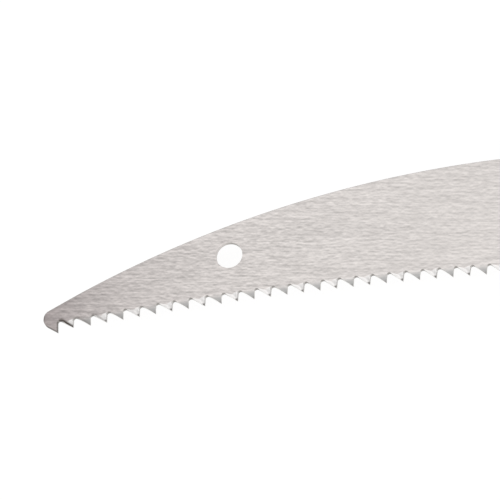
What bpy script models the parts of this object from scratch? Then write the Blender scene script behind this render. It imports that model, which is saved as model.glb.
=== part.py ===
"""Folding pruning saw, lying open on its side.

The blade's plane is level. The toe points to -X, the teeth to -Y and the
handle runs to +X. Everything is modelled about the pivot and then moved so
that the middle of the footprint is the origin.
"""
from math import asin, atan2, cos, pi, radians, sin, sqrt

import bmesh
import bpy
import numpy as np
from mathutils import Matrix, Vector, geometry

MM = 0.001

# Blade, measured about the pivot with the toe at -X.
BLADE_THICKNESS = 1.2 * MM
BLADE_REACH = 217.8 * MM
BACK_RADIUS = 275.5 * MM
BACK_APEX_X = -68.6 * MM
BACK_APEX_Y = 20.0 * MM
NOSE_CORNER_RADIUS = 1.0 * MM
HANG_HOLE_RADIUS = 3.4 * MM
HANG_HOLE_FROM_NOSE = 46.6 * MM
HANG_HOLE_ABOVE_MIDDLE = 0.94 * MM

# Teeth: plain pull teeth on a hollow arc, six to the inch, set left and right.
TOOTH_LINE_RADIUS = 855.0 * MM
TOOTH_LINE_APEX_X = -38.7 * MM
TOOTH_LINE_APEX_Y = -10.45 * MM
TOOTH_PITCH = 25.4 * MM / 6
TOOTH_COUNT = 45
FIRST_TOOTH_FROM_NOSE = 4.0 * MM
FIRST_TOOTH_DROP = 0.35 * MM
TOOTH_FACE_RAKE = radians(-6.0)
TOOTH_BACK_ANGLE = radians(39.0)
GULLET_RADIUS = 0.6 * MM
TOOTH_SET = 0.3 * MM

# Fits.
SEAT = 0.1 * MM
RUNNING = 0.1 * MM
DRILL = 0.15 * MM
FLUSH_DEPTH = 0.2 * MM

# Stack through the handle.
SLOT = 3.0 * MM
LINER_THICKNESS = 1.2 * MM
LINER_INSET = 0.2 * MM
SCALE_THICKNESS = 8.0 * MM
SCALE_ROUNDING = 3.5 * MM

# Handle outline.
FRONT_RADIUS = 15.8 * MM
SPINE_DROP = 10.8 * MM
TIP_CLEARANCE = 5.0 * MM
BUTT_LENGTH = 25.0 * MM
FRONT_END_ANGLE = radians(262.0)
BELLY_FROM_PIVOT = 99.0 * MM
BELLY_DEPTH = 25.0 * MM
WAIST_FROM_END = 79.0 * MM
WAIST_DEPTH = 23.0 * MM
HOOK_FROM_END = 22.5 * MM
HOOK_DEPTH = 31.0 * MM
SPINE_STOPS_FROM_END = 18.75 * MM
BUTT_MIDDLE_DEPTH = 15.5 * MM
TOOTH_CLEARANCE = 1.8 * MM

# Pivot.
BOLT_RADIUS = 3.0 * MM
BOLT_HEAD_RADIUS = 7.0 * MM
BOLT_NECK_WIDTH = 6.4 * MM
BOLT_END_ABOVE_NUT = 2.5 * MM
SLEEVE_RADIUS = 4.5 * MM
FRICTION_WASHER_RADIUS = 8.0 * MM
PIVOT_PLATE_RADIUS = 13.0 * MM
PIVOT_PLATE_THICKNESS = 2.0 * MM
PLATE_SCREW_REACH = 9.4 * MM
PLATE_SCREW_HEAD_RADIUS = 2.2 * MM
PLATE_SCREW_RADIUS = 1.0 * MM
PLATE_SCREW_LENGTH = 7.0 * MM
FLAT_WASHER_RADIUS = 8.5 * MM
FLAT_WASHER_THICKNESS = 1.4 * MM
SPRING_WASHER_RADIUS = 5.9 * MM
SPRING_WASHER_HEIGHT = 1.6 * MM
SPRING_WASHER_GAP = 1.0 * MM
NUT_HUB_RADIUS = 6.3 * MM
NUT_HUB_HEIGHT = 6.5 * MM
NUT_WING_THICKNESS = 2.4 * MM
NUT_WING_LENGTH = 16.4 * MM
NUT_WING_WIDTH = 7.4 * MM
NUT_WING_FOOT = 2.2 * MM
NUT_WING_LEAN = radians(52.0)

# Stop pin: the tang meets it when the blade is open and again when folded.
FOLD_ANGLE = radians(172.0)
STOP_PIN_RADIUS = 2.0 * MM
STOP_PIN_REACH = 10.5 * MM
STOP_PIN_ANGLE = radians(65.0)
STOP_GAP = 0.1 * MM

# Handle fasteners and lanyard tube.
FASTENER_HEAD_RADIUS = 3.75 * MM
FASTENER_HEAD_HEIGHT = 1.6 * MM
FASTENER_INSET = 7.4 * MM
FIRST_FASTENER_FROM_PIVOT = 64.0 * MM
LAST_FASTENER_FROM_BUTT = 50.8 * MM
BUTT_FASTENER_X = 10.0 * MM
BUTT_FASTENER_DEPTH = 19.2 * MM
BARREL_RADIUS = 2.3 * MM
BARREL_SHORT_OF_TOP = 4.0 * MM
BARREL_BORE_DEPTH = 10.5 * MM
HANDLE_SCREW_RADIUS = 1.5 * MM
HANDLE_SCREW_LENGTH = 9.0 * MM
SCREW_SLOT_WIDTH = 0.9 * MM
SCREW_SLOT_DEPTH = 0.7 * MM
LANYARD_TUBE_RADIUS = 5.0 * MM
LANYARD_TUBE_WALL = 0.8 * MM
LANYARD_X = 11.5 * MM
LANYARD_DEPTH = 6.8 * MM

# Heights that follow from the stack.
LOWER_LINER_Z = SCALE_THICKNESS + SEAT
SLOT_Z = LOWER_LINER_Z + LINER_THICKNESS
UPPER_LINER_Z = SLOT_Z + SLOT
UPPER_SCALE_Z = UPPER_LINER_Z + LINER_THICKNESS + SEAT
HANDLE_THICKNESS = UPPER_SCALE_Z + SCALE_THICKNESS
BLADE_Z = SLOT_Z + (SLOT - BLADE_THICKNESS) / 2
FRICTION_WASHER_THICKNESS = (SLOT - BLADE_THICKNESS) / 2 - 2 * SEAT
FLAT_WASHER_Z = HANDLE_THICKNESS + SEAT
SPRING_WASHER_Z = FLAT_WASHER_Z + FLAT_WASHER_THICKNESS + SEAT
NUT_Z = SPRING_WASHER_Z + SPRING_WASHER_HEIGHT + SEAT
BOLT_TOP_Z = NUT_Z + NUT_HUB_HEIGHT + BOLT_END_ABOVE_NUT

for old in list(bpy.data.objects):
    bpy.data.objects.remove(old, do_unlink=True)

saw = bpy.data.collections.new("folding_saw")
cutters = bpy.data.collections.new("cutters")
bpy.context.scene.collection.children.link(saw)
bpy.context.scene.collection.children.link(cutters)
cutters.hide_render = True

frame = bpy.data.objects.new("saw_frame", None)
saw.objects.link(frame)


def principled(name, colour, roughness, metallic):
    material = bpy.data.materials.new(name)
    material.use_nodes = True
    shader = material.node_tree.nodes["Principled BSDF"]
    shader.inputs["Base Color"].default_value = (*colour, 1.0)
    shader.inputs["Roughness"].default_value = roughness
    shader.inputs["Metallic"].default_value = metallic
    return material


def place(name, mesh, material, location=(0, 0, 0), flipped=False):
    """A named piece of the saw, carried by the frame."""
    piece = bpy.data.objects.new(name, mesh)
    piece.data.materials.append(material)
    piece.location = location
    piece.rotation_euler = (pi if flipped else 0.0, 0.0, 0.0)
    piece.parent = frame
    saw.objects.link(piece)
    return piece


def cutter(name, mesh, location=(0, 0, 0)):
    shape = bpy.data.objects.new(name, mesh)
    shape.location = location
    shape.parent = frame
    shape.hide_render = True
    shape.display_type = "WIRE"
    cutters.objects.link(shape)
    return shape


def combine(piece, other, operation="DIFFERENCE"):
    boolean = piece.modifiers.new(other.name, "BOOLEAN")
    boolean.operation = operation
    boolean.solver = "EXACT"
    boolean.object = other


def plate_mesh(name, outline, thickness):
    """A flat plate from a closed outline, from z = 0 up."""
    curve = bpy.data.curves.new(name, "CURVE")
    curve.dimensions = "2D"
    curve.fill_mode = "BOTH"
    curve.extrude = thickness / 2
    spline = curve.splines.new("POLY")
    spline.points.add(len(outline) - 1)
    for point, (x, y) in zip(spline.points, outline):
        point.co = (x, y, 0.0, 1.0)
    spline.use_cyclic_u = True
    return curve_to_mesh(curve, Matrix.Translation((0, 0, thickness / 2)))


def curve_to_mesh(curve, matrix):
    """The curve as a closed mesh with whole, untriangulated caps."""
    shape = bpy.data.objects.new(curve.name, curve)
    bpy.context.scene.collection.objects.link(shape)
    evaluated = shape.evaluated_get(bpy.context.evaluated_depsgraph_get())
    mesh = bpy.data.meshes.new_from_object(evaluated)
    bpy.data.objects.remove(shape, do_unlink=True)
    mesh.materials.clear()
    bm = bmesh.new()
    bm.from_mesh(mesh)
    bmesh.ops.remove_doubles(bm, verts=bm.verts, dist=1e-6)
    for up in (1, -1):
        cap = [face for face in bm.faces if face.normal.z * up > 0.999]
        bmesh.ops.dissolve_faces(bm, faces=cap)
    bmesh.ops.transform(bm, matrix=matrix, verts=bm.verts)
    bmesh.ops.recalc_face_normals(bm, faces=bm.faces)
    bm.to_mesh(mesh)
    bm.free()
    return mesh


def drill_mesh(name, holes):
    """Plain drills side by side: x, y, radius, bottom and top of each."""
    bm = bmesh.new()
    for x, y, radius, bottom, top in holes:
        centre = Matrix.Translation((x, y, (bottom + top) / 2))
        bmesh.ops.create_cone(bm, cap_ends=True, segments=28, radius1=radius, radius2=radius,
                              depth=top - bottom, matrix=centre)
    mesh = bpy.data.meshes.new(name)
    bm.to_mesh(mesh)
    bm.free()
    return mesh


def box_mesh(name, size, centre):
    bm = bmesh.new()
    matrix = Matrix.Translation(centre) @ Matrix.Diagonal((*size, 1.0))
    bmesh.ops.create_cube(bm, size=1.0, matrix=matrix)
    mesh = bpy.data.meshes.new(name)
    bm.to_mesh(mesh)
    bm.free()
    return mesh


def turned(name, profile, material, location=(0, 0, 0), flipped=False, closed=False, steps=32):
    """A turned piece. The profile gives radius and height, down the outside."""
    bm = bmesh.new()
    points = [bm.verts.new((radius, 0.0, z)) for radius, z in profile]
    for first, second in zip(points, points[1:]):
        bm.edges.new((first, second))
    if closed:
        bm.edges.new((points[-1], points[0]))
    mesh = bpy.data.meshes.new(name)
    bm.to_mesh(mesh)
    bm.free()
    piece = place(name, mesh, material, location, flipped)
    lathe = piece.modifiers.new("lathe", "SCREW")
    lathe.steps = steps
    lathe.render_steps = steps
    lathe.use_merge_vertices = True
    lathe.merge_threshold = 1e-5
    lathe.use_smooth_shade = True
    return piece


def ring(inner, outer, height, edge=0.0):
    """Profile of a flat ring with its outer edges broken."""
    return [(outer - edge, height), (outer, height - edge), (outer, edge), (outer - edge, 0.0),
            (inner, 0.0), (inner, height)]


def arc_height(x, apex, radius):
    """Height of an arc that bulges to +Y, at a distance x along it."""
    return apex.y - radius + sqrt(radius ** 2 - (x - apex.x) ** 2)


def fillet(before, corner, after, radius, steps):
    """Points of the round that joins two straight edges at a corner."""
    first = (before - corner).normalized()
    second = (after - corner).normalized()
    half = first.angle(second) / 2
    centre = corner + (first + second).normalized() * (radius / sin(half))
    start = corner + first * (radius * cos(half) / sin(half)) - centre
    end = corner + second * (radius * cos(half) / sin(half)) - centre
    swing = atan2(start.x * end.y - start.y * end.x, start.dot(end))
    points = []
    for step in range(steps + 1):
        turn = Matrix.Rotation(swing * step / steps, 2)
        points.append(centre + turn @ start)
    return points


def polar(radius, angle):
    return Vector((radius * cos(angle), radius * sin(angle)))


brushed_steel = principled("brushed_steel", (0.60, 0.59, 0.56), 0.38, 1.0)
liner_steel = principled("liner_steel", (0.46, 0.46, 0.45), 0.42, 1.0)
zinc_steel = principled("zinc_plated_steel", (0.62, 0.63, 0.64), 0.30, 1.0)
bronze = principled("bronze", (0.48, 0.30, 0.14), 0.40, 1.0)
brass = principled("brass", (0.66, 0.47, 0.18), 0.32, 1.0)
hardwood = principled("oiled_hardwood", (0.36, 0.19, 0.08), 0.50, 0.0)

# Blade. The tip of every tooth is on the tooth line. Each gullet is a round
# between one tooth's face and the sloping back of the next.
back_apex = Vector((BACK_APEX_X, BACK_APEX_Y))
tooth_centre = Vector((TOOTH_LINE_APEX_X, TOOTH_LINE_APEX_Y - TOOTH_LINE_RADIUS))
first_x = -BLADE_REACH + FIRST_TOOTH_FROM_NOSE
first_angle = pi / 2 - asin((first_x - tooth_centre.x) / TOOTH_LINE_RADIUS)
tips = []
corners = []
for tooth in range(TOOTH_COUNT + 1):
    angle = first_angle - tooth * TOOTH_PITCH / TOOTH_LINE_RADIUS
    drop = 0.0 if tooth else FIRST_TOOTH_DROP
    tips.append(tooth_centre + polar(TOOTH_LINE_RADIUS - drop, angle))
for tooth in range(TOOTH_COUNT):
    angle = first_angle - tooth * TOOTH_PITCH / TOOTH_LINE_RADIUS
    face = polar(TOOTH_PITCH * 2, angle + TOOTH_FACE_RAKE)
    next_angle = angle - TOOTH_PITCH / TOOTH_LINE_RADIUS
    back = polar(TOOTH_PITCH * 2, next_angle + pi / 2 - TOOTH_BACK_ANGLE)
    corners.append(Vector(geometry.intersect_line_line_2d(
        tips[tooth], tips[tooth] + face, tips[tooth + 1], tips[tooth + 1] + back)))
gullets = []
for tooth in range(TOOTH_COUNT):
    gullets.append(fillet(tips[tooth], corners[tooth], tips[tooth + 1], GULLET_RADIUS, 4))
roots = [gullet[2] for gullet in gullets]

# Hang hole: near the middle of the blade, between its back and the gullets.
hang_hole = Vector((-BLADE_REACH + HANG_HOLE_FROM_NOSE, HANG_HOLE_ABOVE_MIDDLE))
below_hole = min(roots, key=lambda root: abs(root.x - hang_hole.x))
hang_hole.y += (arc_height(hang_hole.x, back_apex, BACK_RADIUS) + below_hole.y) / 2

# Nose: the first tooth's back runs on to a blunt end.
nose_slope = polar(1.0, first_angle + pi / 2 - TOOTH_BACK_ANGLE)
nose_low = tips[0] + nose_slope * ((-BLADE_REACH - tips[0].x) / nose_slope.x)
nose_high = Vector((-BLADE_REACH, arc_height(-BLADE_REACH, back_apex, BACK_RADIUS)))
back_near = Vector((-BLADE_REACH + 4 * NOSE_CORNER_RADIUS,
                    arc_height(-BLADE_REACH + 4 * NOSE_CORNER_RADIUS, back_apex, BACK_RADIUS)))
nose = fillet(tips[0], nose_low, nose_high, NOSE_CORNER_RADIUS, 4)
nose += fillet(nose_low, nose_high, back_near, NOSE_CORNER_RADIUS, 4)

# Tang: a small round about the pivot between two shoulders for the stop pin.
pin = polar(STOP_PIN_REACH, STOP_PIN_ANGLE)
rim = STOP_PIN_REACH - STOP_PIN_RADIUS - 2 * STOP_GAP
open_shoulder = pin.x - STOP_PIN_RADIUS - STOP_GAP
fold_shoulder = STOP_PIN_ANGLE - FOLD_ANGLE - asin((STOP_PIN_RADIUS + STOP_GAP) / STOP_PIN_REACH)
ricasso = tips[-1].y
back_line = []
for x in np.linspace(back_near.x, open_shoulder, 56):
    back_line.append(Vector((x, arc_height(x, back_apex, BACK_RADIUS))))
tang = []
for angle in np.linspace(atan2(sqrt(rim ** 2 - open_shoulder ** 2), open_shoulder), fold_shoulder, 28):
    tang.append(polar(rim, angle))
tang.append(polar(ricasso / sin(fold_shoulder), fold_shoulder))
body = nose + back_line + tang + [tips[-1]] + gullets[-1][:1:-1]
body += roots[-2::-1] + gullets[0][1::-1] + [tips[0]]

bm = bmesh.new()
verts = {}


def blade_vertex(point, height=0.0):
    key = (round(point.x, 8), round(point.y, 8))
    if key not in verts:
        verts[key] = bm.verts.new((point.x, point.y, height))
    return verts[key]


bm.faces.new([blade_vertex(point) for point in body])
for tooth in range(1, TOOTH_COUNT):
    side = 1 if tooth % 2 else -1
    outline = gullets[tooth - 1][2:] + [tips[tooth]] + gullets[tooth][:3]
    along = (roots[tooth] - roots[tooth - 1]).normalized()
    across = Vector((along.y, -along.x))
    depth = across.dot(tips[tooth] - roots[tooth])
    heights = [side * TOOTH_SET * across.dot(point - roots[tooth]) / depth for point in outline]
    bm.faces.new([blade_vertex(point, height) for point, height in zip(outline, heights)])
raised = bmesh.ops.extrude_face_region(bm, geom=bm.faces[:])
raised_verts = [item for item in raised["geom"] if isinstance(item, bmesh.types.BMVert)]
bmesh.ops.translate(bm, verts=raised_verts, vec=(0, 0, BLADE_THICKNESS))
bmesh.ops.recalc_face_normals(bm, faces=bm.faces)
blade_mesh = bpy.data.meshes.new("blade")
bm.to_mesh(blade_mesh)
bm.free()
blade = place("blade", blade_mesh, brushed_steel, (0, 0, BLADE_Z))
blade_drills = [
    (0.0, 0.0, SLEEVE_RADIUS + RUNNING, -SLOT, SLOT),
    (hang_hole.x, hang_hole.y, HANG_HOLE_RADIUS, -SLOT, SLOT),
]
combine(blade, cutter("blade_drills", drill_mesh("blade_drills", blade_drills), (0, 0, BLADE_Z)))

# Handle outline: a round front about the pivot, a drooping spine, a butt and
# a mouth edge with a belly, a waist and a hook for the little finger.
butt_start = BLADE_REACH + TIP_CLEARANCE
handle_end = butt_start + BUTT_LENGTH
spine_apex = Vector((0.0, FRONT_RADIUS))
spine_radius = (butt_start ** 2 + SPINE_DROP ** 2) / (2 * SPINE_DROP)
spine_end = handle_end - SPINE_STOPS_FROM_END
hook = Vector((handle_end - HOOK_FROM_END, -HOOK_DEPTH))
mouth_start = polar(FRONT_RADIUS, FRONT_END_ANGLE)
mouth_slope = Vector((-mouth_start.y, mouth_start.x)).normalized()
belly = Vector((BELLY_FROM_PIVOT, -BELLY_DEPTH))
waist = Vector((handle_end - WAIST_FROM_END, -WAIST_DEPTH))


def spine_height(x):
    return arc_height(x, spine_apex, spine_radius)


def bend(start, start_way, end, end_way, steps):
    """A smooth edge between two places, leaving out its last point."""
    reach = (end - start).length * 0.38
    points = geometry.interpolate_bezier(start, start + start_way * reach, end - end_way * reach, end, steps + 1)
    return [Vector(point[:2]) for point in points[:-1]]


level = Vector((1.0, 0.0))
butt_low = Vector((handle_end, -BUTT_MIDDLE_DEPTH))
spine_last = Vector((spine_end, spine_height(spine_end)))
spine_way = Vector((spine_radius, -spine_end)).normalized()
handle_outline = []
for angle in np.linspace(pi / 2, FRONT_END_ANGLE, 19)[:-1]:
    handle_outline.append(polar(FRONT_RADIUS, angle))
handle_outline += bend(mouth_start, mouth_slope, belly, level, 8)
handle_outline += bend(belly, level, waist, level, 6)
handle_outline += bend(waist, level, hook, level, 8)
handle_outline += bend(hook, level, butt_low, Vector((0.0, 1.0)), 8)
handle_outline += bend(butt_low, Vector((0.0, 1.0)), spine_last, -spine_way, 8)
for x in np.linspace(spine_end, 0.0, 15)[:-1]:
    handle_outline.append(Vector((x, spine_height(x))))


def inset(outline, distance):
    """The closed outline, which runs anticlockwise, moved inwards."""
    points = []
    for index, point in enumerate(outline):
        way = (outline[(index + 1) % len(outline)] - outline[index - 1]).normalized()
        points.append(point + Vector((-way.y, way.x)) * distance)
    return points


# Places of the through fasteners and of the lanyard tube.
stations = np.linspace(FIRST_FASTENER_FROM_PIVOT, butt_start - LAST_FASTENER_FROM_BUTT, 3)
fasteners = [Vector((x, spine_height(x) - FASTENER_INSET)) for x in stations]
fasteners.append(Vector((butt_start + BUTT_FASTENER_X, -BUTT_FASTENER_DEPTH)))
lanyard = Vector((butt_start + LANYARD_X, -LANYARD_DEPTH))
plate_screws = [Vector((-PLATE_SCREW_REACH, 0.0)), Vector((PLATE_SCREW_REACH, 0.0))]

# Scales: hardwood, rounded along the outer edge and let in for the plates.
for name, bottom, outer_up in (("lower_scale", 0.0, False), ("upper_scale", UPPER_SCALE_Z, True)):
    mesh = plate_mesh(name, handle_outline, SCALE_THICKNESS)
    outer_z = SCALE_THICKNESS if outer_up else 0.0
    bm = bmesh.new()
    bm.from_mesh(mesh)
    weight = bm.edges.layers.float.new("bevel_weight_edge")
    for edge in bm.edges:
        if all(abs(vert.co.z - outer_z) < SEAT for vert in edge.verts):
            edge[weight] = 1.0
    bm.to_mesh(mesh)
    bm.free()
    scale = place(name, mesh, hardwood, (0, 0, bottom))
    rounding = scale.modifiers.new("rounding", "BEVEL")
    rounding.limit_method = "WEIGHT"
    rounding.width = SCALE_ROUNDING
    rounding.segments = 3
    widest = BOLT_RADIUS if outer_up else max(BOLT_NECK_WIDTH / sqrt(2), BOLT_HEAD_RADIUS - PIVOT_PLATE_THICKNESS)
    bolt_hole = widest + 2 * DRILL
    low, high = -SEAT * 10, SCALE_THICKNESS + SEAT * 10
    bores = [(0.0, 0.0, bolt_hole, low, high), (lanyard.x, lanyard.y, LANYARD_TUBE_RADIUS + DRILL, low, high)]
    bores += [(spot.x, spot.y, BARREL_RADIUS + DRILL, low, high) for spot in fasteners]
    pilot = PLATE_SCREW_LENGTH + FLUSH_DEPTH + DRILL
    pilot_span = (SCALE_THICKNESS - pilot, high) if outer_up else (low, pilot)
    bores += [(spot.x, spot.y, PLATE_SCREW_RADIUS + DRILL, *pilot_span) for spot in plate_screws]
    plate_depth = PIVOT_PLATE_THICKNESS + SEAT
    head_depth = FLUSH_DEPTH + FASTENER_HEAD_HEIGHT + SEAT
    plate_span = (SCALE_THICKNESS - plate_depth, high) if outer_up else (low, plate_depth)
    head_span = (SCALE_THICKNESS - head_depth, high) if outer_up else (low, head_depth)
    recesses = [(0.0, 0.0, PIVOT_PLATE_RADIUS + DRILL, *plate_span)]
    recesses += [(spot.x, spot.y, FASTENER_HEAD_RADIUS + DRILL, *head_span) for spot in fasteners]
    combine(scale, cutter(name + "_recesses", drill_mesh(name + "_recesses", recesses), (0, 0, bottom)))
    combine(scale, cutter(name + "_bores", drill_mesh(name + "_bores", bores), (0, 0, bottom)))

# Liners: steel plates. The lower one holds the square neck of the bolt.
liner_outline = inset(handle_outline, LINER_INSET)
for name, bottom in (("lower_liner", LOWER_LINER_Z), ("upper_liner", UPPER_LINER_Z)):
    liner = place(name, plate_mesh(name, liner_outline, LINER_THICKNESS), liner_steel, (0, 0, bottom))
    bores = [(pin.x, pin.y, STOP_PIN_RADIUS + SEAT, -SLOT, SLOT),
             (lanyard.x, lanyard.y, LANYARD_TUBE_RADIUS + DRILL, -SLOT, SLOT)]
    bores += [(spot.x, spot.y, BARREL_RADIUS + DRILL, -SLOT, SLOT) for spot in fasteners]
    if name == "upper_liner":
        bores.append((0.0, 0.0, BOLT_RADIUS + DRILL, -SLOT, SLOT))
    else:
        neck = BOLT_NECK_WIDTH + 2 * DRILL
        neck_mesh = box_mesh("neck_hole", (neck, neck, 2 * SLOT), (0, 0, 0))
        combine(liner, cutter("neck_hole", neck_mesh, (0, 0, bottom)))
    combine(liner, cutter(name + "_bores", drill_mesh(name + "_bores", bores), (0, 0, bottom)))

# Spacers. The spine strip clears the teeth of the folded blade by a set amount.
fold_turn = Matrix.Rotation(FOLD_ANGLE, 2)
folded_centre = fold_turn @ tooth_centre
spacer_start = stations[0] - FASTENER_INSET
spacer_thickness = SLOT - 2 * SEAT
strip_outline = []
for x in np.linspace(butt_start - TOOTH_CLEARANCE, spacer_start, 14):
    strip_outline.append(Vector((x, spine_height(x) - LINER_INSET)))
for x in np.linspace(spacer_start, butt_start - TOOTH_CLEARANCE, 14):
    drop = sqrt((TOOTH_LINE_RADIUS - TOOTH_CLEARANCE) ** 2 - (x - folded_centre.x) ** 2)
    strip_outline.append(Vector((x, folded_centre.y - drop)))
strip = place("back_spacer", plate_mesh("back_spacer", strip_outline, spacer_thickness), zinc_steel,
              (0, 0, SLOT_Z + SEAT))
strip_bores = [(spot.x, spot.y, BARREL_RADIUS + DRILL, -SLOT, 2 * SLOT) for spot in fasteners[:-1]]
combine(strip, cutter("strip_bores", drill_mesh("strip_bores", strip_bores), (0, 0, SLOT_Z)))
butt = place("butt_spacer", plate_mesh("butt_spacer", liner_outline, spacer_thickness), zinc_steel,
             (0, 0, SLOT_Z + SEAT))
trim = box_mesh("butt_trim", (2 * handle_end, 4 * HOOK_DEPTH, 4 * SLOT), (butt_start - handle_end, 0, 0))
combine(butt, cutter("butt_trim", trim, (0, 0, SLOT_Z)))
butt_bores = [(fasteners[-1].x, fasteners[-1].y, BARREL_RADIUS + DRILL, -SLOT, 2 * SLOT),
              (lanyard.x, lanyard.y, LANYARD_TUBE_RADIUS + DRILL, -SLOT, 2 * SLOT)]
combine(butt, cutter("butt_bores", drill_mesh("butt_bores", butt_bores), (0, 0, SLOT_Z)))

# Pivot bolt: flush countersunk head, square neck and plain shank.
cone_depth = BOLT_HEAD_RADIUS - BOLT_RADIUS
bolt_length = BOLT_TOP_Z
bolt = turned("pivot_bolt", [(0.0, 0.0), (BOLT_HEAD_RADIUS, 0.0), (BOLT_RADIUS, -cone_depth),
                             (BOLT_RADIUS, -bolt_length + BOLT_RADIUS / 4),
                             (0.75 * BOLT_RADIUS, -bolt_length), (0.0, -bolt_length)],
              zinc_steel, flipped=True)
neck_bottom = cone_depth - (BOLT_NECK_WIDTH / 2 - BOLT_RADIUS)
neck_height = SLOT_Z - SEAT - neck_bottom
neck_shape = box_mesh("bolt_neck", (BOLT_NECK_WIDTH, BOLT_NECK_WIDTH, neck_height),
                      (0, 0, neck_bottom + neck_height / 2))
combine(bolt, cutter("bolt_neck", neck_shape), "UNION")

sleeve_profile = ring(BOLT_RADIUS + RUNNING, SLEEVE_RADIUS, SLOT - 2 * SEAT)
turned("pivot_sleeve", sleeve_profile, zinc_steel, (0, 0, SLOT_Z + SEAT), closed=True)
washer_profile = ring(SLEEVE_RADIUS + DRILL, FRICTION_WASHER_RADIUS, FRICTION_WASHER_THICKNESS)
turned("friction_washer_lower", washer_profile, bronze, (0, 0, SLOT_Z + SEAT), closed=True)
turned("friction_washer_upper", washer_profile, bronze, (0, 0, BLADE_Z + BLADE_THICKNESS + SEAT), closed=True)

# Pivot plates: brass, let in flush. The lower one is countersunk for the bolt.
screw_cone = PLATE_SCREW_HEAD_RADIUS - PLATE_SCREW_RADIUS
sunk = [(PIVOT_PLATE_RADIUS, PIVOT_PLATE_THICKNESS), (PIVOT_PLATE_RADIUS, 0.0),
        (BOLT_HEAD_RADIUS + DRILL, 0.0),
        (BOLT_HEAD_RADIUS + DRILL - PIVOT_PLATE_THICKNESS, PIVOT_PLATE_THICKNESS)]
plain = ring(BOLT_RADIUS + DRILL, PIVOT_PLATE_RADIUS, PIVOT_PLATE_THICKNESS)
for name, profile, bottom, up in (("lower_pivot_plate", sunk, 0.0, -1),
                                  ("upper_pivot_plate", plain, HANDLE_THICKNESS - PIVOT_PLATE_THICKNESS, 1)):
    plate = turned(name, profile, brass, (0, 0, bottom), closed=True, steps=40)
    bm = bmesh.new()
    face_z = PIVOT_PLATE_THICKNESS if up > 0 else 0.0
    wide, narrow = PLATE_SCREW_HEAD_RADIUS + DRILL, PLATE_SCREW_RADIUS + DRILL
    over = PIVOT_PLATE_THICKNESS
    for spot in plate_screws:
        sizes = (narrow - over, wide + over) if up > 0 else (wide + over, narrow - over)
        middle = face_z - up * (wide - narrow) / 2
        reach = (wide - narrow + 2 * over)
        matrix = Matrix.Translation((spot.x, spot.y, middle))
        bmesh.ops.create_cone(bm, cap_ends=True, segments=24, radius1=max(sizes[0], narrow / 4),
                              radius2=max(sizes[1], narrow / 4), depth=reach, matrix=matrix)
    sink_mesh = bpy.data.meshes.new(name + "_sinks")
    bm.to_mesh(sink_mesh)
    bm.free()
    combine(plate, cutter(name + "_sinks", sink_mesh, (0, 0, bottom)))
    through = [(spot.x, spot.y, narrow, -over, 2 * over) for spot in plate_screws]
    combine(plate, cutter(name + "_through", drill_mesh(name + "_through", through), (0, 0, bottom)))

# Screws with a slotted head, countersunk in the plates and flat in the scales.
plate_screw_profile = [(0.0, 0.0), (PLATE_SCREW_HEAD_RADIUS, 0.0), (PLATE_SCREW_RADIUS, -screw_cone),
                       (PLATE_SCREW_RADIUS, -0.8 * PLATE_SCREW_LENGTH), (0.0, -PLATE_SCREW_LENGTH)]
head_edge = FASTENER_HEAD_HEIGHT / 5
handle_screw_profile = [(0.0, 0.0), (FASTENER_HEAD_RADIUS - head_edge, 0.0), (FASTENER_HEAD_RADIUS, -head_edge),
                        (FASTENER_HEAD_RADIUS, -FASTENER_HEAD_HEIGHT), (HANDLE_SCREW_RADIUS, -FASTENER_HEAD_HEIGHT),
                        (HANDLE_SCREW_RADIUS, -FASTENER_HEAD_HEIGHT - HANDLE_SCREW_LENGTH),
                        (0.0, -FASTENER_HEAD_HEIGHT - HANDLE_SCREW_LENGTH)]
barrel_end = -(HANDLE_THICKNESS - BARREL_SHORT_OF_TOP - FLUSH_DEPTH)
bore_end = barrel_end + BARREL_BORE_DEPTH
barrel_profile = handle_screw_profile[:4] + [
    (BARREL_RADIUS, -FASTENER_HEAD_HEIGHT), (BARREL_RADIUS, barrel_end), (HANDLE_SCREW_RADIUS + SEAT, barrel_end),
    (HANDLE_SCREW_RADIUS + SEAT, bore_end), (0.0, bore_end)]


def slotted(screw, head_radius, width, depth, turn):
    size = (4 * head_radius, width, 2 * depth)
    slot = cutter(screw.name + "_slot", box_mesh(screw.name + "_slot", size, (0, 0, 0)), screw.location)
    slot.rotation_euler = (0.0, 0.0, turn)
    combine(screw, slot)


plate_screw_places = [(spot, False) for spot in plate_screws] + [(spot, True) for spot in plate_screws]
for index, (spot, flipped) in enumerate(plate_screw_places):
    height = SEAT if flipped else HANDLE_THICKNESS - SEAT
    screw = turned("plate_screw_%d" % (index + 1), plate_screw_profile, brass,
                   (spot.x, spot.y, height), flipped, steps=16)
    slotted(screw, PLATE_SCREW_HEAD_RADIUS, SCREW_SLOT_WIDTH * 0.7, SCREW_SLOT_DEPTH * 0.7, radians(35 + 70 * index))
for index, spot in enumerate(fasteners):
    turned("barrel_nut_%d" % (index + 1), barrel_profile, brass, (spot.x, spot.y, FLUSH_DEPTH), True, steps=20)
    screw = turned("handle_screw_%d" % (index + 1), handle_screw_profile, brass,
                   (spot.x, spot.y, HANDLE_THICKNESS - FLUSH_DEPTH), steps=24)
    slotted(screw, FASTENER_HEAD_RADIUS, SCREW_SLOT_WIDTH, SCREW_SLOT_DEPTH, radians(20 + 50 * index))

tube_profile = ring(LANYARD_TUBE_RADIUS - LANYARD_TUBE_WALL, LANYARD_TUBE_RADIUS,
                    HANDLE_THICKNESS - 2 * FLUSH_DEPTH)
turned("lanyard_tube", tube_profile, brass, (lanyard.x, lanyard.y, FLUSH_DEPTH), closed=True)
pin_height = UPPER_LINER_Z + LINER_THICKNESS - LOWER_LINER_Z
turned("stop_pin", [(0.0, pin_height), (STOP_PIN_RADIUS, pin_height), (STOP_PIN_RADIUS, 0.0), (0.0, 0.0)],
       zinc_steel, (pin.x, pin.y, LOWER_LINER_Z))

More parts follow.
